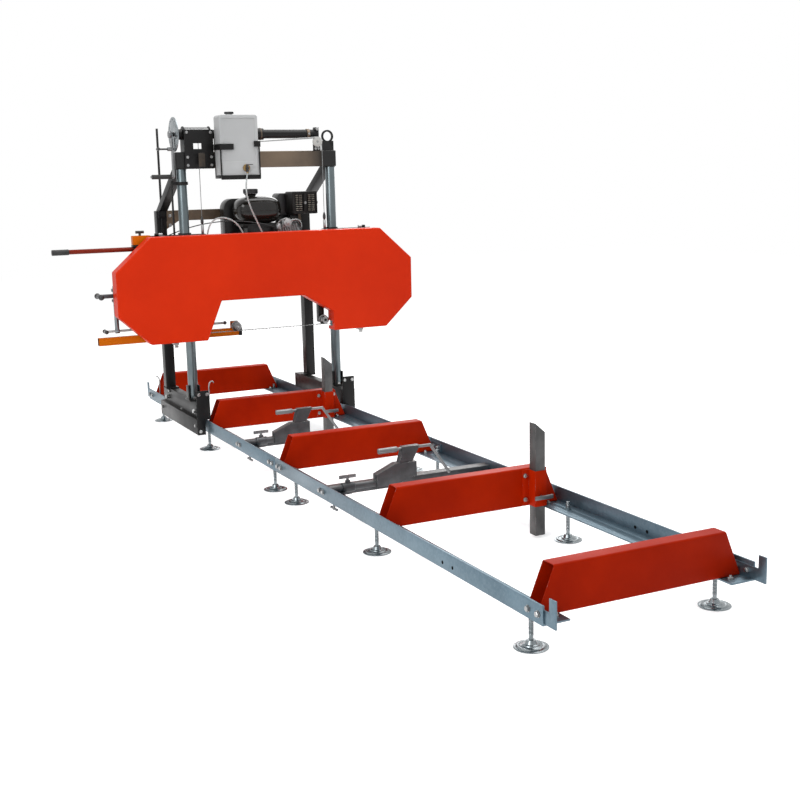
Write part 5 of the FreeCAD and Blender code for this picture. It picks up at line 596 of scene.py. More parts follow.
# %% Softened single pieces
SOFT_EDGES = {
    "track": {"rails": 1.0, "rail_fittings": 1.0, "clamp_members": 1.6, "stop_sleeves": 1.2},
    "carriage": {"tank_frame": 0.8},
    "head": {"muffler": 1.5, "air_cleaner": 4.0},
    None: {"clamp_near": 1.4, "clamp_far": 1.4, "dog_near": 1.2, "dog_far": 1.2, "clamp_wing_near": 1.2,
           "clamp_wing_far": 1.2, "stop_wing_near": 1.2, "stop_wing_far": 1.2, "log_stop_near": 2.0,
           "log_stop_far": 2.0, "wheel_front_left": 1.2, "wheel_rear_left": 1.2, "wheel_front_right": 1.2,
           "wheel_rear_right": 1.2, "drive_wheel": 1.0, "idler_wheel": 1.0, "engine_pulley": 0.6,
           "roller_left": 0.6, "roller_right": 0.6, "cable_pulley": 0.6, "crank_grip": 1.5, "tank_cap": 1.0,
           "fuel_cap": 1.5, "push_knob": 1.0, "index_pin": 0.8, "tap_lever": 0.8, "latch_left": 0.6,
           "latch_right": 0.6, "throttle": 0.6, "recoil": 1.5, "tension_block": 1.0},
}
for body, pieces in SOFT_EDGES.items():
    for node, millimetres in pieces.items():
        dressed(node, body or node, finish_of[node], soften=millimetres / 1000)

# %% [markdown]
# The saw head's frame is one weldment in black paint, with zinc turnbuckles at the
# cable ends. The lower hose in the CAD piece gives way to the smooth curve.

# %% Saw head and engine frame
LOWER_HOSE = (-362, 32, 3700, 3760, 755, 1385)
dressed("head_frame", "head", frame_black,
        [(bolt_zinc, (-480, -320, 3715, 3737, 1283.5, 1340)), (bolt_zinc, (380, 425, 3715, 3737, 1283.5, 1340)),
         (arm_orange, (-790, -686, 3700, 3752, 1236.5, 1300)), (bright_zinc, (-922, -884, 3655, 3775, 660, 1012)),
         (polished_steel, (500, 700, 3733, 3760, 850, 1060))], 0.0012, skip=LOWER_HOSE)
dressed("engine_block", "head", engine_black, [(cast_alloy, (120, 335, 3920, 4060, 1170, 1340))], 0.002)

# %% Hose pieces
def tube_piece(name, line, material, instead):
    mesh = mesh_of_curve(line)
    mesh.name = name
    shade_smooth(mesh)
    mesh.materials.append(material)
    return put_in_scene(name, mesh, instead=instead)

fall_hose = tube_piece("WaterHoseFall", fall_line, hose_clear, "water_hose")
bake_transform(fall_hose)
head_line.materials.append(hose_clear)
head_hose = put_in_scene("WaterHoseHead", head_line, "head", "head_frame")
print("hose pieces:", fall_hose.name, head_hose.name)

# %% [markdown]
# The two lifting cables run from the winch and its pulley down to turnbuckles on the
# saw head. Each is a straight line of six parts, drawn as a thin tube.

# %% Lifting cables
CABLE_THICK, CABLE_TOP, CABLE_FOOT, CABLE_PARTS = 0.004, 1804, 1335, 6
CABLE_X = {"Left": -370, "Right": 403.3}
for word, across in CABLE_X.items():
    drop = [(across, 3726, CABLE_TOP + (CABLE_FOOT - CABLE_TOP) * k / CABLE_PARTS) for k in range(CABLE_PARTS + 1)]
    line = hose_curve("LiftCable" + word, drop, CABLE_THICK)
    run, path = length_of(line)
    cable = tube_piece("LiftCable" + word, line, dog_steel, "lift_cables")
    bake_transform(cable)
    print(f"lifting cable {word}: {run:.3f} m")

# %% [markdown]
# ## The hood
# The hood is one sheet of 2.5 mm steel with a folded rim. It is drawn as its outline,
# pulled back 94 mm, bent edges rounded with a small radius, and given its wall
# inward. The back stays open, so the band wheels can be seen and reached.

# %% Hood
OUTLINE = [(-714, 1280), (-925, 1090), (-925, 842), (-743, 671), (-411, 671), (-317, 897), (200, 897),
           (390, 786), (390, 671), (743, 671), (925, 842), (925, 1090), (714, 1280)]
HOOD_FRONT, HOOD_BACK, SHEET, BEND = 3590, 3684, 0.0025, 0.005

work = bmesh.new()
front, back = ([work.verts.new(spot(x, y, z)) for x, z in OUTLINE] for y in (HOOD_FRONT, HOOD_BACK))
work.faces.new(front)
for i in range(len(front)):
    j = (i + 1) % len(front)
    work.faces.new((front[j], front[i], back[i], back[j]))
bmesh.ops.recalc_face_normals(work, faces=work.faces)
if sum(f.normal.y * f.calc_area() for f in work.faces if len(f.verts) == len(front)) > 0:
    bmesh.ops.reverse_faces(work, faces=work.faces)
bends = [e for e in work.edges if len(e.link_faces) == 2]
bmesh.ops.bevel(work, geom=bends, offset=BEND, segments=3, profile=0.5, affect="EDGES", clamp_overlap=True)
mesh = bpy.data.meshes.new("Hood")
work.to_mesh(mesh)
work.free()
mesh.materials.append(hood_red)
hood = put_in_scene("Hood", mesh)

def slot_cutter(low, high):
    work = bmesh.new()
    bmesh.ops.create_cube(work, size=1)
    for vert in work.verts:
        vert.co = Vector(low[i] if vert.co[i] < 0 else high[i] for i in range(3))
    mesh = bpy.data.meshes.new("slot")
    work.to_mesh(mesh)
    work.free()
    return put_in_scene("slot", mesh)

def bake_modifiers(piece):
    mesh, old = evaluated_mesh(piece), piece.data
    piece.modifiers.clear()
    piece.data = mesh
    mesh.name = piece.name
    bpy.data.meshes.remove(old)

wall = hood.modifiers.new("wall", "SOLIDIFY")
wall.thickness, wall.offset = SHEET, -1
cutters = [slot_cutter(spot(x0, 3622, 693.5), spot(x1, 3700, 725.5)) for x0, x1 in ((-450, -330), (370, 410))]
for cutter in cutters:
    cut = hood.modifiers.new("slot", "BOOLEAN")
    cut.operation, cut.object, cut.solver = "DIFFERENCE", cutter, "EXACT"
bake_modifiers(hood)
for cutter in cutters:
    bpy.data.objects.remove(cutter)
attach(hood, "guard")
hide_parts("guard")
print("hood:", len(hood.data.polygons), "faces; box", [round(v, 3) for v in hood.dimensions])

# %% [markdown]
# ## Small parts that repeat
# Bolts, weld beads, threads, teeth and fins each repeat one small shape. Every one of
# them gets a Geometry Nodes tree with named sizes: marked points or a drawn line go
# in, finished metal comes out. `baked` fills in the sizes, turns the result into a
# plain mesh and lets it ride on its body.

# %% Tree tools
def start_tree(name, **sizes):
    tree = bpy.data.node_groups.new(name, "GeometryNodeTree")
    tree.interface.new_socket("Geometry", in_out="INPUT", socket_type="NodeSocketGeometry")
    for label, value in sizes.items():
        kind = "NodeSocketInt" if isinstance(value, int) else "NodeSocketFloat"
        socket = tree.interface.new_socket(label.replace("_", " "), in_out="INPUT", socket_type=kind)
        socket.default_value = value
    tree.interface.new_socket("Material", in_out="INPUT", socket_type="NodeSocketMaterial")
    tree.interface.new_socket("Geometry", in_out="OUTPUT", socket_type="NodeSocketGeometry")
    return tree, tree.nodes.new("NodeGroupInput").outputs

def end_tree(tree, given, shapes):
    solid = link_up(tree, "GeometryNodeRealizeInstances", Geometry=shapes)
    painted = link_up(tree, "GeometryNodeSetMaterial", Geometry=solid, Material=given["Material"])
    tree.links.new(painted.outputs[0], tree.nodes.new("NodeGroupOutput").inputs[0])
    print(tree.name, "tree:", len(tree.nodes), "nodes")

def joined(tree, *shapes):
    node = tree.nodes.new("GeometryNodeJoinGeometry")
    for shape in shapes:
        tree.links.new(shape.outputs[0], node.inputs[0])
    return node

def raised(tree, shape, z):
    return link_up(tree, "GeometryNodeTransform", Geometry=shape, Translation=vector(tree, z=z))

def times(tree, a, b):
    return maths(tree, "MULTIPLY", a, b)

def plus(tree, a, b):
    return maths(tree, "ADD", a, b)

def cylinder(tree, sides, radius, depth):
    return link_up(tree, "GeometryNodeMeshCylinder", Vertices=sides, Radius=radius, Depth=depth)

def cube(tree, x, y, z):
    return link_up(tree, "GeometryNodeMeshCube", Size=vector(tree, x, y, z))

def random_between(tree, low, high, seed):
    return link_up(tree, "FunctionNodeRandomValue", {"data_type": "FLOAT"}, i2=low, i3=high, Seed=seed).outputs[1]

def copies(tree, points, shape, **more):
    return link_up(tree, "GeometryNodeInstanceOnPoints", Points=points, Instance=shape, **more)

def turn_to(tree, way, **axes):
    return link_up(tree, "FunctionNodeAlignRotationToVector", axes, Vector=way)

def marked_way(tree):
    """The direction that `on_points` has stored on every point."""
    node = link_up(tree, "GeometryNodeInputNamedAttribute", {"data_type": "FLOAT_VECTOR"}, Name="facing")
    return next(o for o in node.outputs if o.enabled and o.name == "Attribute")

def stand_on_points(tree, given, shape, **axes):
    """Ends a tree with a copy of the shape on every marked point, one axis along its direction."""
    end_tree(tree, given, copies(tree, given["Geometry"], shape, Rotation=turn_to(tree, marked_way(tree), **axes)))

def walk_along(tree, given, step):
    """Points at even steps along the drawn lines."""
    line = link_up(tree, "GeometryNodeMeshToCurve", Mesh=given["Geometry"])
    return link_up(tree, "GeometryNodeCurveToPoints", {"mode": "LENGTH"}, Curve=line, Length=step).outputs

def baked(name, base, body, tree, material, crisp_above=35, **sizes):
    piece = put_in_scene(name, base, body)
    repeat = piece.modifiers.new("repeat", "NODES")
    repeat.node_group = tree
    for item in tree.interface.items_tree:
        if item.in_out == "INPUT" and item.name != "Geometry":
            key = item.name.replace(" ", "_")
            repeat[item.identifier] = material if key == "Material" else sizes.get(key, item.default_value)
    bake_modifiers(piece)
    shade_smooth(piece.data, crisp_above)
    print(f"{name}: {len(piece.data.polygons)} faces")

def on_points(name, body, tree, material, marks, **sizes):
    """A tree's shapes on points with a direction: marks are (place, direction)."""
    mesh = bpy.data.meshes.new(name)
    mesh.from_pydata([place for place, way in marks], [], [])
    mesh.attributes.new("facing", "FLOAT_VECTOR", "POINT").data.foreach_set(
        "vector", [c for place, way in marks for c in way])
    baked(name, mesh, body, tree, material, **sizes)

def on_lines(name, body, tree, material, runs, closed=False, **sizes):
    """A tree's shapes along lines through drawing points."""
    mesh = bpy.data.meshes.new(name)
    points, edges = [], []
    for run in runs:
        first = len(points)
        points += [spot(*p) for p in run]
        edges += [(first + i, first + i + 1) for i in range(len(run) - 1)]
        if closed:
            edges.append((len(points) - 1, first))
    mesh.from_pydata(points, edges, [])
    baked(name, mesh, body, tree, material, **sizes)
print("tree tools ready")

# %% [markdown]
# ### Hex bolts
# A bolt is a washer, a six-sided head with a chamfer, and on a nut the end of the
# thread. The tree stands one on every marked point, turned by a fixed random angle,
# because no two are ever tightened to the same place. Most points are found by looking
# along a line at the CAD surface, so every washer really lies on its steel.

# %% Bolt tree
HEX_CORNER = 0.5774    # the corner radius of a hexagon (or a triangle) over its flat size
HEAD_BODY, HEAD_CHAMFER, CHAMFER_TAPER, STUD_RADIUS, STUD_SUNK, SIXTH_TURN = 0.78, 0.22, 0.84, 0.31, 0.001, 1.047
bolt_tree, given = start_tree("Bolts", Across_Flats=0.019, Head_Height=0.008, Washer_Radius=0.012,
                              Washer_Thick=0.0025, Stud_Long=0.0, Seed=4)
t = bolt_tree
flats, height, thick, stud_long = (given[n] for n in ("Across Flats", "Head Height", "Washer Thick", "Stud Long"))
corner, low_part, top_part = times(t, flats, HEX_CORNER), times(t, height, HEAD_BODY), times(t, height, HEAD_CHAMFER)
washer = cylinder(t, 16, given["Washer Radius"], thick)
head = cylinder(t, 6, corner, low_part)
chamfer = link_up(t, "GeometryNodeMeshCone", Vertices=6, Radius_Top=times(t, corner, CHAMFER_TAPER),
                  Radius_Bottom=corner, Depth=top_part)
stud = cylinder(t, 10, times(t, flats, STUD_RADIUS), stud_long)
sunk_half = maths(t, "SUBTRACT", times(t, stud_long, 0.5), STUD_SUNK)
plain = joined(t, raised(t, washer, times(t, thick, 0.5)), raised(t, head, plus(t, thick, times(t, low_part, 0.5))),
               raised(t, chamfer, plus(t, thick, low_part)))
with_stud = joined(t, plain, raised(t, stud, plus(t, thick, plus(t, height, sunk_half))))
is_nut = link_up(t, "FunctionNodeCompare", {"data_type": "FLOAT"}, A=stud_long, B=0.0001)
bolt = link_up(t, "GeometryNodeSwitch", {"input_type": "GEOMETRY"}, i0=is_nut, i1=plain, i2=with_stud)
spin = vector(t, z=random_between(t, 0.0, SIXTH_TURN, given["Seed"]))
turned = link_up(t, "FunctionNodeRotateRotation", {"rotation_space": "LOCAL"},
                 Rotation=turn_to(t, marked_way(t), axis="Z"), Rotate_By=spin)
end_tree(t, given, copies(t, given["Geometry"], bolt, Rotation=turned))

# %% Where the bolts go
STEEL = {
    "track": "rails rail_fittings bunks clamp_members stop_sleeves",
    "carriage": "side_member_left side_member_right columns rear_frame top_beam winch_housing tank_frame water_tank",
    "head": "head_frame engine_block muffler air_cleaner",
}

def skin_of(names):
    points, faces = [], []
    for name in names.split():
        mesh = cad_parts[name].data
        first = len(points)
        points += [v.co.copy() for v in mesh.vertices]
        faces += [[first + i for i in face.vertices] for face in mesh.polygons]
    return BVHTree.FromPolygons(points, faces)

SKIN = {body: skin_of(names) for body, names in STEEL.items()}
WAYS = {sign + "xyz"[i]: Vector([size if k == i else 0 for k in range(3)])
        for i in range(3) for sign, size in (("+", 1), ("-", -1))}
LOOK_FROM, LOOK_FAR = 0.02, 0.06

def seats(body, way, *places):
    """The points on the steel where a bolt that faces `way` stands, near each drawing place."""
    marks = []
    for place in places:
        hit = SKIN[body].ray_cast(spot(*place) + WAYS[way] * LOOK_FROM, -WAYS[way], LOOK_FAR)[0]
        if hit is None:
            print("no steel behind", body, way, place)
        else:
            marks.append((hit, WAYS[way]))
    return marks

M8, M10, M12, M16 = (dict(zip(("Across_Flats", "Head_Height", "Washer_Radius", "Washer_Thick"), row)) for row in (
    (0.013, 0.0055, 0.0085, 0.0016), (0.017, 0.0068, 0.0105, 0.002),
    (0.019, 0.008, 0.0125, 0.0025), (0.024, 0.010, 0.0155, 0.003)))

def bolts(name, body, size, marks, stud=0.0):
    on_points(name, body, bolt_tree, bolt_zinc, marks, Stud_Long=stud, **size)

RAIL_ENDS, CLAMP_BOLTS, SPLICE_BOLTS = (28, 88, 4792, 4852), (1826, 1866, 2986, 3026), (2368, 2412, 2488, 2532)
rail_marks, rail_nuts = [], []
for side, way, inner in ((-1, "-x", "+x"), (1, "+x", "-x")):
    rail_marks += seats("track", way, *[(side * 450, y, 168) for y in RAIL_ENDS + CLAMP_BOLTS + SPLICE_BOLTS])
    rail_nuts += seats("track", inner, *[(side * 438, y, 168) for y in RAIL_ENDS + SPLICE_BOLTS])
bolts("RailBolts", "track", M12, rail_marks)
bolts("RailNuts", "track", M10, rail_nuts, stud=0.006)
bolts("BeamFootNuts", "track", M12, seats("track", "+z", *[
    (side * 372, 60 + number * 1172.5 + off, 142) for number in range(5) for side in (-1, 1) for off in (-20, 90)]),
      stud=0.007)
bolts("SleeveNuts", "track", M10, seats("track", "-y", *[
    (x, y, z) for y in (1224, 3569) for x in (262, 360) for z in (172, 280)]), stud=0.006)

# %% Bolts on the carriage and the head
axle_marks, small_marks = [], []
for side, way in ((-1, "-x"), (1, "+x")):
    axle_marks += seats("carriage", way, *[(side * 505, y, 244.3) for y in (3690, 4270)])
    small_marks += seats("carriage", way, *[
        (side * 505, y, z) for y, z in ((3620, 170), (3980, 210), (4340, 170), (4243, 285))])
    small_marks += seats("carriage", "-y", *[(side * x, y, z) for x, y, z in (
        (440, 3580, 358), (490, 3580, 358), (490, 3580, 140), (467, 3716, 312), (424, 4213, 1322), (424, 4213, 1380))])
bolts("AxleBolts", "carriage", M16, axle_marks)
bolts("FrameBolts", "carriage", M10, small_marks)
bolts("WinchPlateBolts", "carriage", M8, seats(
    "carriage", "-y", *[(x, 3712, z) for x in (-440, -298) for z in (1676, 1722, 1862)],
    (383, 3746, 1772), (383, 3746, 1880), (366, 3718, 1764), (384, 3718, 1764)))
bolts("EngineSideBolts", "head", M8, seats(
    "head", "-y", *[(60 + 78 * c, 3895, 1185 + 78 * s) for c, s in circle(8, 0.39)]))
bolts("MountBolts", "head", M10, seats("head", "+z", *[(x, y, 1052) for x in (-90, 145) for y in (3915, 4060)]),
      stud=0.01)
bolts("HingeBolts", "head", M10, seats(
    "head", "+y", *[(x, 3746, 1260) for x in (-760, -560, -400, 430, 560, 680)],
    *[(x, 3733, 955) for x in (-380, -250, 300, 420)])
    + seats("head", "-x", *[(-896, y, z) for y in (3692, 3737) for z in (925, 985)]))

# %% [markdown]
# ### Weld beads
# Where two steel parts of the frame meet, a welder left a rippled bead. Seen close, it
# is a row of overlapping drops, so the tree walks along a drawn line in small steps
# and sets a drop of a slightly different size at each. A bevelled curve would be too smooth.

# %% Weld tree
weld_tree, given = start_tree("WeldBeads", Step=0.0042, Drop_Radius=0.0036, Seed=11)
t = weld_tree
steps = walk_along(t, given, given["Step"])
drop = link_up(t, "GeometryNodeMeshIcoSphere", Radius=given["Drop Radius"], Subdivisions=1)
end_tree(t, given, copies(t, steps["Points"], drop, Rotation=steps["Rotation"],
                          Scale=random_between(t, 0.85, 1.15, given["Seed"])))

def welds(name, body, runs, closed=False):
    on_lines(name, body, weld_tree, frame_black, runs, closed, crisp_above=80)

def box_run(x0, x1, y0, y1, z):
    return [(x0, y0, z), (x1, y0, z), (x1, y1, z), (x0, y1, z)]

def ring_run(x, y, z, radius, count=28):
    return [(x + radius * c, y + radius * s, z) for c, s in circle(count)]

rings, seams = [], []
for side in (-1, 1):
    rings += [box_run(*sorted((side * 446, side * 506)), 4213, 4273, 309)]
    rings += [ring_run(side * 467, 3766, z, 29) for z in (309, 1657)]
    seams += [[(side * 446, y, 1350), (side * 446, y, 1410)] for y in (4213, 4273)]
    seams += [[(side * 428, y, 300), (side * 502, y, 300)] for y in (3716, 3816)]
    seams += [[(side * 505, 3584, 300), (side * 505, 3584, 120)]]
rings += [box_run(419, 495, 3772.5, 3759.5, 1753)]
seams += [[(-455, 3734, 1659), (-283, 3734, 1659)]]
welds("CarriageWelds", "carriage", rings, closed=True)
welds("SeamWelds", "carriage", seams)
welds("HeadWelds", "head", [[(x, 3734, 911), (x, 3734, 999)] for x in (-500, -434, 434, 500)]
      + [[(x, 3672, 912), (x, 3672, 998)] for x in (-534, 694)])

# %% [markdown]
# ### Screw threads
# The levelling feet stand on threaded rods. A thread is a small ridge wound around a
# rod, so the tree winds a spiral, gives it a three-cornered profile, and stands a copy on
# every foot. The same tree makes the drum's cable with a round profile.

# %% Thread tree
thread_tree, given = start_tree("Threads", Radius=0.008, Pitch=0.003, Height=0.08, Ridge=0.0012, Corners=3, Steps=14)
t = thread_tree
spiral = link_up(t, "GeometryNodeCurveSpiral", Resolution=given["Steps"], Height=given["Height"],
                 Rotations=maths(t, "DIVIDE", given["Height"], given["Pitch"]),
                 Start_Radius=given["Radius"], End_Radius=given["Radius"])
profile = link_up(t, "GeometryNodeCurvePrimitiveCircle", Resolution=given["Corners"], Radius=given["Ridge"])
ridge = link_up(t, "GeometryNodeCurveToMesh", Curve=spiral, Profile_Curve=profile, Fill_Caps=True)
stand_on_points(t, given, ridge, axis="Z")

TO_RIGHT, UP, FORWARD, BACKWARD = WAYS["+x"], WAYS["+z"], WAYS["-y"], WAYS["+y"]
FEET = [(-399, y) for y in (150, 1368, 2300, 2597, 3709, 4730)] + [(399, y) for y in (150, 1097, 2300, 2597, 3709, 4730)]
TOP_THREAD = UP * 0.112
feet = [(spot(x, y, 44), UP) for x, y in FEET]
on_points("FootThreads", "track", thread_tree, bright_zinc, feet, Height=0.084)
on_points("FootThreadTops", "track", thread_tree, bright_zinc, [(p + TOP_THREAD, w) for p, w in feet], Height=0.012)
on_points("DrumCable", "winch", thread_tree, bolt_zinc, [(spot(-440, 3766, 1852), TO_RIGHT)],
          Radius=0.0393, Pitch=0.0046, Height=0.140, Ridge=0.002, Corners=6, Steps=40, crisp_above=80)

# %% [markdown]
# ### Blade teeth
# The blade is a thin band whose front edge is cut into hooked teeth. They follow the
# whole loop, so the loop is drawn once, two straights and two half circles, and a tree
# sets one tooth at every pitch, turned along the band.

# %% Teeth tree
teeth_tree, given = start_tree("Teeth", Pitch=0.022, Tooth_Long=0.015, Tooth_Deep=0.0045, Thick=0.0011)
t = teeth_tree
places = walk_along(t, given, given["Pitch"])
size = vector(t, times(t, given["Tooth Long"], HEX_CORNER), times(t, given["Tooth Deep"], 0.8), 1.0)
tooth = link_up(t, "GeometryNodeTransform", Geometry=cylinder(t, 3, 1.0, given["Thick"]), Scale=size,
                Rotation=(math.radians(90), 0, 0))
end_tree(t, given, copies(t, places["Points"], tooth,
                          Rotation=turn_to(t, places["Tangent"], axis="X", pivot_axis="Y")))

TEETH_Y, WHEEL_Z, WHEEL_X, BAND_R = 3633.4, 955, 600, 245.9
half = [(WHEEL_X + BAND_R * c, TEETH_Y, WHEEL_Z + BAND_R * s) for c, s in circle(96, -math.pi / 2)[:49]]
band_loop = half + [(-x, y, 2 * WHEEL_Z - z) for x, y, z in half]
on_lines("BladeTeeth", "head", teeth_tree, polished_steel, [band_loop], closed=True)

# %% [markdown]
# ## Fitted parts
# Knobs, straps, brackets and covers are turned or cut shapes. `shape` builds one from
# a short parts list, boxes, rods, balls and turned outlines, and softens every sharp edge
# a little, since no real edge is perfectly sharp.

# %% Shape maker
AXES = {"X": (1, 2, 0), "Y": (0, 2, 1), "Z": (0, 1, 2)}

def on_axis(axis, at, along, a=0.0, b=0.0):
    """A drawing point beside an axis: `at` names the axis, a and b are offsets across it."""
    place = [0, 0, 0]
    first, second, run = AXES[axis]
    place[first], place[second], place[run] = at[0] + a, at[1] + b, along
    return spot(*place)

def add_turned(work, axis, at, outline, sides=32):
    rings = [[work.verts.new(on_axis(axis, at, along, radius * c, radius * s)) for c, s in circle(sides)]
             if radius >= 0.01 else [work.verts.new(on_axis(axis, at, along))] for radius, along in outline]
    for low, high in zip(rings, rings[1:]):
        for k in range(sides):
            corners = [low[k % len(low)], low[(k + 1) % len(low)], high[(k + 1) % len(high)], high[k % len(high)]]
            work.faces.new(list(dict.fromkeys(corners)))
    for ring in (rings[0], rings[-1]):
        if len(ring) > 1:
            work.faces.new(ring)

def add_box(work, x0, x1, y0, y1, z0, z1):
    corners = [work.verts.new(spot(x, y, z)) for x in (x0, x1) for y in (y0, y1) for z in (z0, z1)]
    for quad in ((0, 1, 3, 2), (4, 6, 7, 5), (0, 4, 5, 1), (2, 3, 7, 6), (0, 2, 6, 4), (1, 5, 7, 3)):
        work.faces.new([corners[k] for k in quad])

def add_plate(work, axis, points, span):
    """A flat plate: points across an axis, pushed through a span of it."""
    near, far = ([work.verts.new(on_axis(axis, (a, b), s)) for a, b in points] for s in span)
    work.faces.new(near)
    work.faces.new(far)
    for k in range(len(points)):
        j = (k + 1) % len(points)
        work.faces.new((near[k], near[j], far[j], far[k]))

def ball(axis, at, along, radius):
    return "turned", axis, at, [(radius * s, along - radius * c) for c, s in circle(16)[:9]]

def add_pipe(work, points, radius, sides=12):
    """A bent rod through drawing points, mitred at each of them."""
    path = [spot(*p) for p in points]
    rings = []
    for i, place in enumerate(path):
        ahead = (path[min(i + 1, len(path) - 1)] - path[max(i - 1, 0)]).normalized()
        turn = ahead.to_track_quat("Z", "Y")
        rings.append([work.verts.new(place + turn @ Vector((radius / 1000 * c, radius / 1000 * s, 0)))
                      for c, s in circle(sides)])
    for low, high in zip(rings, rings[1:]):
        for k in range(sides):
            work.faces.new((low[k], low[(k + 1) % sides], high[(k + 1) % sides], high[k]))
    work.faces.new(rings[0])
    work.faces.new(rings[-1])

def shape(name, body, material, *parts, soften=0.0008, instead=None):
    work = bmesh.new()
    for kind, *values in parts:
        {"box": add_box, "turned": add_turned, "plate": add_plate, "pipe": add_pipe}[kind](work, *values)
    bmesh.ops.recalc_face_normals(work, faces=work.faces)
    if soften:
        soften_edges(work, soften, 38)
    finished(name, work, body, [material], instead, 32)
print("shape maker ready")

# %% [markdown]
# ### Hood fittings
# The hood hangs on two barrels and shuts with two latches. Their ears and barrels are
# already exact in the CAD piece, so they are lifted out of it as whole islands and painted,
# rather than drawn again.

# %% Hood fittings
for name, zone in (("HoodHinges", (-670, 670, 3655, 3712, 1279, 1299)),
                   ("HoodLatchEars", (-620, 620, 3630, 3660, 650, 672))):
    finished(name, cad_copy("guard", lambda island: holds(zone, island)), "guard", [bolt_zinc], "guard", 28)
shape("HoodStiffeners", "guard", hood_red, ("box", -700, 700, 3593, 3606, 1262, 1266),
      ("box", -600, -560, 3593, 3600, 700, 1200), ("box", 560, 600, 3593, 3600, 700, 1200))

# %% [markdown]
# ### Tank straps
# The tank stands in an angle-iron tray. A black tab on each side reaches round onto
# its face and keeps it from tipping when the carriage is pushed.

# %% Tank straps and tap fittings
shape("TankStraps", "carriage", frame_black,
      ("box", -283, -275, 3595, 3600, 1597, 1790), ("box", -283, -200, 3594, 3600.5, 1759, 1792),
      ("box", -283, -279, 3597, 3712, 1759, 1792), ("box", -49, -41, 3595, 3600, 1597, 1806),
      ("box", -76, -37, 3594, 3600.5, 1774, 1807), ("box", -45, -41, 3597, 3712, 1774, 1807),
      ("box", -281, -43, 3593, 3600, 1590, 1600), soften=0.0006)
shape("TapRing", "carriage", tap_brass,
      ("turned", "Y", (-128, 1655), [(20, 3602), (21, 3600), (21, 3592), (18, 3589), (12, 3588)]),
      ("turned", "Z", (-128, 3582), [(5.2, 1636), (6.4, 1632), (5.2, 1628), (6.4, 1624)]))

# %% [markdown]
# ### The engine
# A small air-cooled engine: a fan cowl behind, a pressed steel fuel tank on top
# with a seam all round, a finned cylinder leaning to the right, and a muffler in a slotted
# guard. The tank is a rounded block, made from a sphere pushed toward a box by a
# power law, which gives the soft pillow shape of a deep-drawn pressing: the higher the
# power, the boxier the block.

# %% Fuel tank
tank_gloss = finish("tank_gloss", (0.007, 0.007, 0.006), (0.02, 0.018, 0.015), (0.1, 0.2), tone=(7, 2), wear=0.3,
                    wear_radius=0.0015, dust=0.03, skin=300, bump=0.03, coat=0.25, Specular_IOR_Level=0.3)
TANK_POWER, TANK_LOW, TANK_HIGH, SEAM_OUT = 3.1, (-84, 3884, 1320), (206, 4074, 1486), 3.5
middle, reach = zip(*[((low + high) / 2, (high - low) / 2) for low, high in zip(TANK_LOW, TANK_HIGH)])
work = bmesh.new()
bmesh.ops.create_icosphere(work, subdivisions=5, radius=1)
for vert in work.verts:
    swell = sum(abs(c) ** TANK_POWER for c in vert.co) ** (-1 / TANK_POWER)
    vert.co = spot(*[m + r * c * swell for m, r, c in zip(middle, reach, vert.co)])
finished("FuelTank", work, "head", [tank_gloss], "fuel_tank")
seam = [[m + (r + SEAM_OUT) * math.copysign(abs(part) ** (2 / TANK_POWER), part)
         for m, r, part in zip(middle, reach, ends)] for ends in circle(72)]
shape("FuelTankSeam", "head", tank_gloss, ("plate", "Z", seam, (1399, 1404)), soften=0.001)
shape("FuelNeck", "head", tank_gloss,
      ("turned", "Z", (25, 3980), [(40, 1474), (34, 1482), (31, 1488), (33, 1495), (41, 1502), (43, 1503.6)]))
shape("EngineBase", "head", heat_black, ("box", -60, 190, 3900, 4064, 1306, 1321),
      ("box", -30, 150, 3905, 4060, 1296, 1306))

# %% Fuel cap ribs and engine fins
rib_tree, given = start_tree("RingOfRibs", Count=24, Ring_Radius=0.044, Rib_Wide=0.004, Rib_Deep=0.002, Rib_High=0.02)
t = rib_tree
ring = link_up(t, "GeometryNodeMeshCircle", Vertices=given["Count"], Radius=given["Ring Radius"])
outward = turn_to(t, link_up(t, "GeometryNodeInputPosition"), axis="X", pivot_axis="Z")
rib = cube(t, given["Rib Deep"], given["Rib Wide"], given["Rib High"])
stand_on_points(t, given, copies(t, ring, rib, Rotation=outward), axis="Z")
for name, body, material, place, way, count, radius, high, wide, deep in (
        ("FuelCapRibs", "fuel_cap", knob_black, (25, 3980, 1518), UP, 24, 0.0442, 0.022, 0.005, 0.0025),
        ("TankCapRibs", "tank_cap", knob_black, (-200, 3653, 1967.4), UP, 30, 0.0262, 0.010, 0.0028, 0.0018),
        ("FanCoverRibs", "head", engine_black, (31, 4164, 1275), BACKWARD, 36, 0.062, 0.008, 0.0035, 0.05)):
    on_points(name, body, rib_tree, material, [(spot(*place), way)], Count=count, Ring_Radius=radius,
              Rib_High=high, Rib_Wide=wide, Rib_Deep=deep)
shape("FanCover", "head", engine_black,
      ("turned", "Y", (31, 1275), [(92, 4158), (92, 4166), (86, 4170), (84, 4170), (82, 4166), (82, 4158)], 48),
      ("turned", "Y", (31, 1275), [(34, 4158), (34, 4172), (26, 4177), (0, 4178)]), soften=0)

fin_tree, given = start_tree("CoolingFins", Count=9, Spacing=0.0155, Fin_Thick=0.0032, Fin_Wide=0.15, Fin_High=0.118)
t = fin_tree
row = link_up(t, "GeometryNodeMeshLine", Count=given["Count"], Offset=vector(t, given["Spacing"]))
fin = cube(t, given["Fin Thick"], given["Fin Wide"], given["Fin High"])
stand_on_points(t, given, copies(t, row, fin), axis="X")
LEAN = Vector((0.958, 0, 0.287))
on_points("CylinderFins", "head", fin_tree, cast_alloy, [(spot(180, 3990, 1252), LEAN)])

# %% [markdown]
# The muffler guard is a folded box with rows of louvres on its face, held by a bolt
# there and one on its side. Each louvre is a small raised lip, so one tree lays a grid
# of them on a marked place.

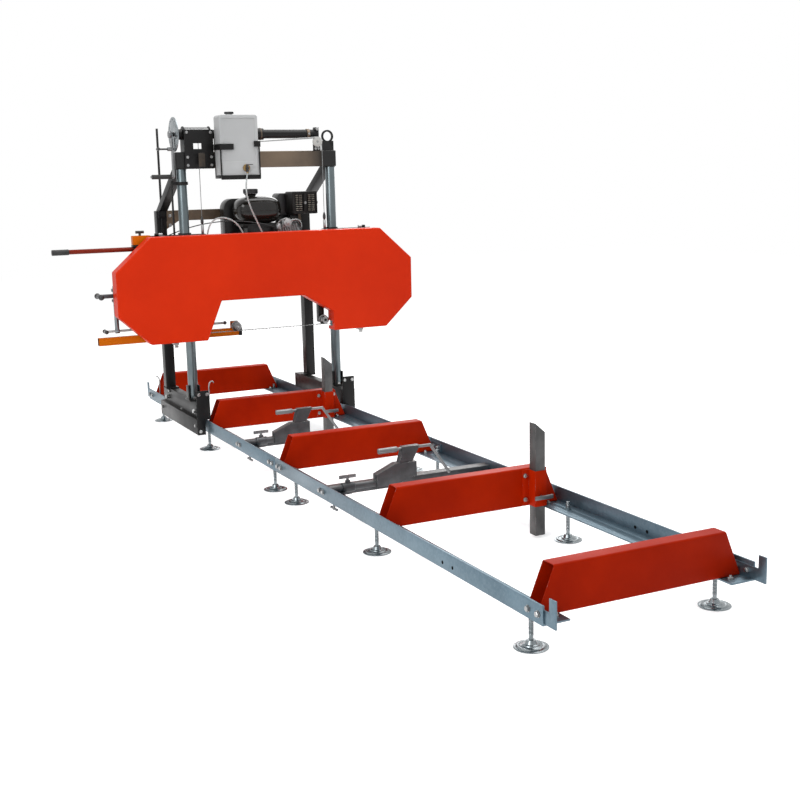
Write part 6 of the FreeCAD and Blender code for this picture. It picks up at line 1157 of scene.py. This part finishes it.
# %% Muffler guard
louvre_tree, given = start_tree("Louvres", Columns=2, Rows=9, Column_Step=0.024, Row_Step=0.0115, Long=0.018,
                                High=0.0045, Deep=0.004)
t = louvre_tree
across, down = (times(t, given[step], maths(t, "SUBTRACT", given[count], 1.0))
                for step, count in (("Column Step", "Columns"), ("Row Step", "Rows")))
grid = link_up(t, "GeometryNodeMeshGrid", Vertices_X=given["Columns"], Vertices_Y=given["Rows"], Size_X=across,
               Size_Y=down)
lying = link_up(t, "GeometryNodeTransform", Geometry=cylinder(t, 6, 0.5, 1.0), Rotation=(0, math.radians(90), 0))
lip = link_up(t, "GeometryNodeTransform", Geometry=lying, Scale=vector(t, given["Long"], given["High"], given["Deep"]))
stand_on_points(t, given, copies(t, grid, lip), axis="Z", pivot_axis="X")
guard_grey = finish("guard_grey", (0.22, 0.21, 0.18), (0.42, 0.40, 0.34), (0.4, 0.6), metallic=0.6, tone=(30, 2.2),
                    dust=0.15, skin=500, bump=0.2)
on_points("MufflerLouvres", "head", louvre_tree, guard_grey, [(spot(x, 3883, 1440), FORWARD) for x in (303, 385)])
shape("MufflerGuard", "head", heat_black, *[("box", x0, x1, 3880, 3884, z0, z1) for x0, x1, z0, z1 in (
    (338, 350, 1378, 1502), (264, 424, 1500, 1507), (264, 424, 1374, 1381), (264, 270, 1376, 1505),
    (418, 424, 1376, 1505))])
bolts("MufflerBolt", "head", M8, [(spot(344, 3880, 1440), FORWARD), (spot(426, 3946, 1440), TO_RIGHT)])
shape("MufflerKnob", "head", heat_black,
      ("turned", "X", (3946, 1440), [(9, 426), (9, 436), (13, 438), (13, 448), (9, 451), (0, 451)]))

# %% [markdown]
# ### Handles, cable and small fittings
# Hands meet the machine at these parts: ball ends on the cross bars, a rod with a
# ball that locks the guide arm, and the throttle's black cable, which runs from the
# engine to the operator's side. Pressed rings stiffen every foot plate.

# %% Ball ends and rods
TENSION, LOCK, DRUM = (-1000, 955), (-972, 751), (3766, 1852)
shape("TensionScrew", "tension_handle", clamp_steel,
      ("turned", "X", (3702.5, 955), [(12, -1000), (12, -922), (9, -920), (9, -690.5)]),
      ("turned", "Y", TENSION, [(12, 3650), (13, 3662), (11, 3680), (13, 3690), (13, 3715), (11, 3725), (13, 3743),
                                (12, 3755)]), instead="tension_handle")
shape("TensionBalls", "tension_handle", knob_black, ball("Y", TENSION, 3652.5, 17), ball("Y", TENSION, 3752.5, 17),
      soften=0, instead="tension_handle")
shape("ArmLockRod", "arm_lock", bolt_zinc, ("turned", "X", (3728, 751), [(7, -972), (7, -256), (5, -254)]),
      ("turned", "Y", LOCK, [(8, 3702), (8, 3754)]), instead="arm_lock")
shape("ArmLockBalls", "arm_lock", knob_black, ball("Y", LOCK, 3702, 12), ball("Y", LOCK, 3754, 12),
      ball("X", (3728, 751), -262, 11), soften=0, instead="arm_lock")
shape("PinGrip", "index_pin", knob_black,
      ("turned", "Y", (-602, 1770), [(7, 3728), (8, 3735), (8, 3760), (6.5, 3766), (5, 3772)]))
shape("HandleClampBlock", "head", arm_orange, ("box", -788, -687, 3702, 3750, 1236, 1287), soften=0.0025)
shape("HandleClampJaw", "head", frame_black, ("box", -789, -686, 3701, 3751, 1222, 1236), soften=0.002)
shape("ArmEnd", "guide_arm", frame_black, ("box", -187, -168, 3691.5, 3737.5, 673.5, 720.5))
# The bronze rings on the winch tube and its black sleeve are painted warm reflection, raised a little.
shape("WinchCollars", "winch", beam_bronze, *[("turned", "X", DRUM, outline) for outline in (
    [(33, -20), (35.5, -19), (35.5, -10), (33, -9)], [(33, 18), (35.5, 19), (35.5, 28), (33, 29)],
    [(27, 318), (30, 319), (30, 336), (27, 337)])], soften=0.0005)
shape("WinchSleeve", "winch", frame_black, ("turned", "X", DRUM, [(30, -34), (34, -33), (34, 42), (30, 43)]),
      soften=0.0005)
# A thin bronze patch on the winch plate's front stands for the beam seen through its window, in the beam's painted warm
# reflection.
shape("CableGuide", "carriage", beam_bronze,
      ("plate", "Y", [(-389, 1667), (-351, 1667), (-351, 1744), (-389, 1744)], (3666.4, 3668.4)), soften=0.0003)
shape("CableEyes", "head", knob_black, *[
    ("turned", "Z", (x, 3726), [(2.6, 1384), (7, 1372), (9, 1360), (9, 1348), (5, 1336)]) for x in CABLE_X.values()])
bolts("BearingBolts", "carriage", M10, [(spot(383, 3746, z), FORWARD) for z in (1776, 1880)])
bolts("WinchBolts", "winch", M8, [(spot(327, 3740, 1852), FORWARD), (spot(394, 3766, 1852), TO_RIGHT)])

# %% Hooks, holes and screws
shape("TieHooks", "carriage", bolt_zinc,
      ("pipe", [(-428, 3576, 330), (-428, 3576, 402), (-425, 3576, 420), (-416, 3576, 432), (-405, 3576, 433),
                (-398, 3576, 424)], 4),
      ("pipe", [(-508, 4372, 250), (-508, 4372, 330), (-511, 4372, 350), (-520, 4372, 362), (-530, 4372, 360)], 4))
# Flat near-black discs on both faces of the rails at the spare holes: painted shade standing for the holes' dark
# inside.
SPARE_HOLES = (605, 682, 4198, 4275)
hole_dark = finish("hole_dark", 0.002, 0.006, (0.8, 0.9), Specular_IOR_Level=0.05)
shape("RailHoleShade", "track", hole_dark, *[
    ("turned", "X", (y, 158), [(7, side * face), (7, side * (face + out))])
    for y in SPARE_HOLES for side in (-1, 1) for face, out in ((450, 0.25), (442, -0.25))], soften=0)
shape("ClampScrews", "track", dog_steel, *[part for y in (1842, 3001) for part in (
    ("turned", "Z", (-392, y), [(6, 72), (6, 136), (11, 136.5), (11, 140.5)]),
    ("turned", "Y", (-392, 78), [(5, y - 30), (6, y), (5, y + 30)]),
    ball("Y", (-392, 78), y - 30, 7), ball("Y", (-392, 78), y + 30, 7))])
shape("FootRings", "track", bright_zinc, *[("turned", "Z", place, outline, 40) for place in FEET for outline in (
    [(60.4, 0.3), (61.8, 1.8), (61.2, 3.6), (58, 4.4)],
    [(56, 3.6), (51, 5.6), (48, 9.2), (44.5, 9.9), (41, 9.2), (39, 8)],
    [(31, 10), (28.5, 13.6), (24, 15), (20, 15.6)])], soften=0)

# %% Throttle cable and engine fittings
THROTTLE_THICK = 0.006
CABLE = [(130, 3860, 1296), (70, 3846, 1318), (-20, 3838, 1334), (-110, 3834, 1344), (-200, 3832, 1347),
         (-290, 3830, 1341), (-380, 3826, 1327), (-470, 3818, 1305), (-545, 3800, 1282), (-596, 3774, 1266),
         (-616, 3750, 1256)]
cable_line = hose_curve("ThrottleCable", CABLE, THROTTLE_THICK)
cable_run = length_of(cable_line)[0]
cable_line.materials.append(knob_black)
throttle_cable = put_in_scene("ThrottleCable", cable_line, "head")
shape("Carburettor", "head", cast_alloy, ("box", 188, 246, 3878, 3930, 1296, 1342),
      ("turned", "Y", (217, 1322), [(24, 3862), (26, 3866), (26, 3880)]),
      ("turned", "Y", (217, 1322), [(10, 3856), (10, 3864)]),
      ("turned", "Z", (168, 3896), [(17, 1286), (17, 1312), (12, 1318), (0, 1319)]))
shape("IntakePipe", "head", bolt_zinc,
      ("pipe", [(246, 3900, 1326), (262, 3896, 1336), (282, 3892, 1340), (300, 3892, 1332), (312, 3896, 1314),
                (318, 3904, 1290)], 9),
      ("pipe", [(150, 3880, 1312), (172, 3872, 1338), (206, 3868, 1350), (238, 3872, 1346)], 3.5))
shape("PlugLead", "head", knob_black,
      ("pipe", [(322, 3950, 1262), (330, 3936, 1282), (326, 3914, 1306), (300, 3896, 1322), (262, 3884, 1318),
                (222, 3874, 1296)], 3.8), ("turned", "X", (3950, 1258), [(9, 306), (9, 330), (6, 334)]))
print("fittings done")

# %% Measure the box and finish
low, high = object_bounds()
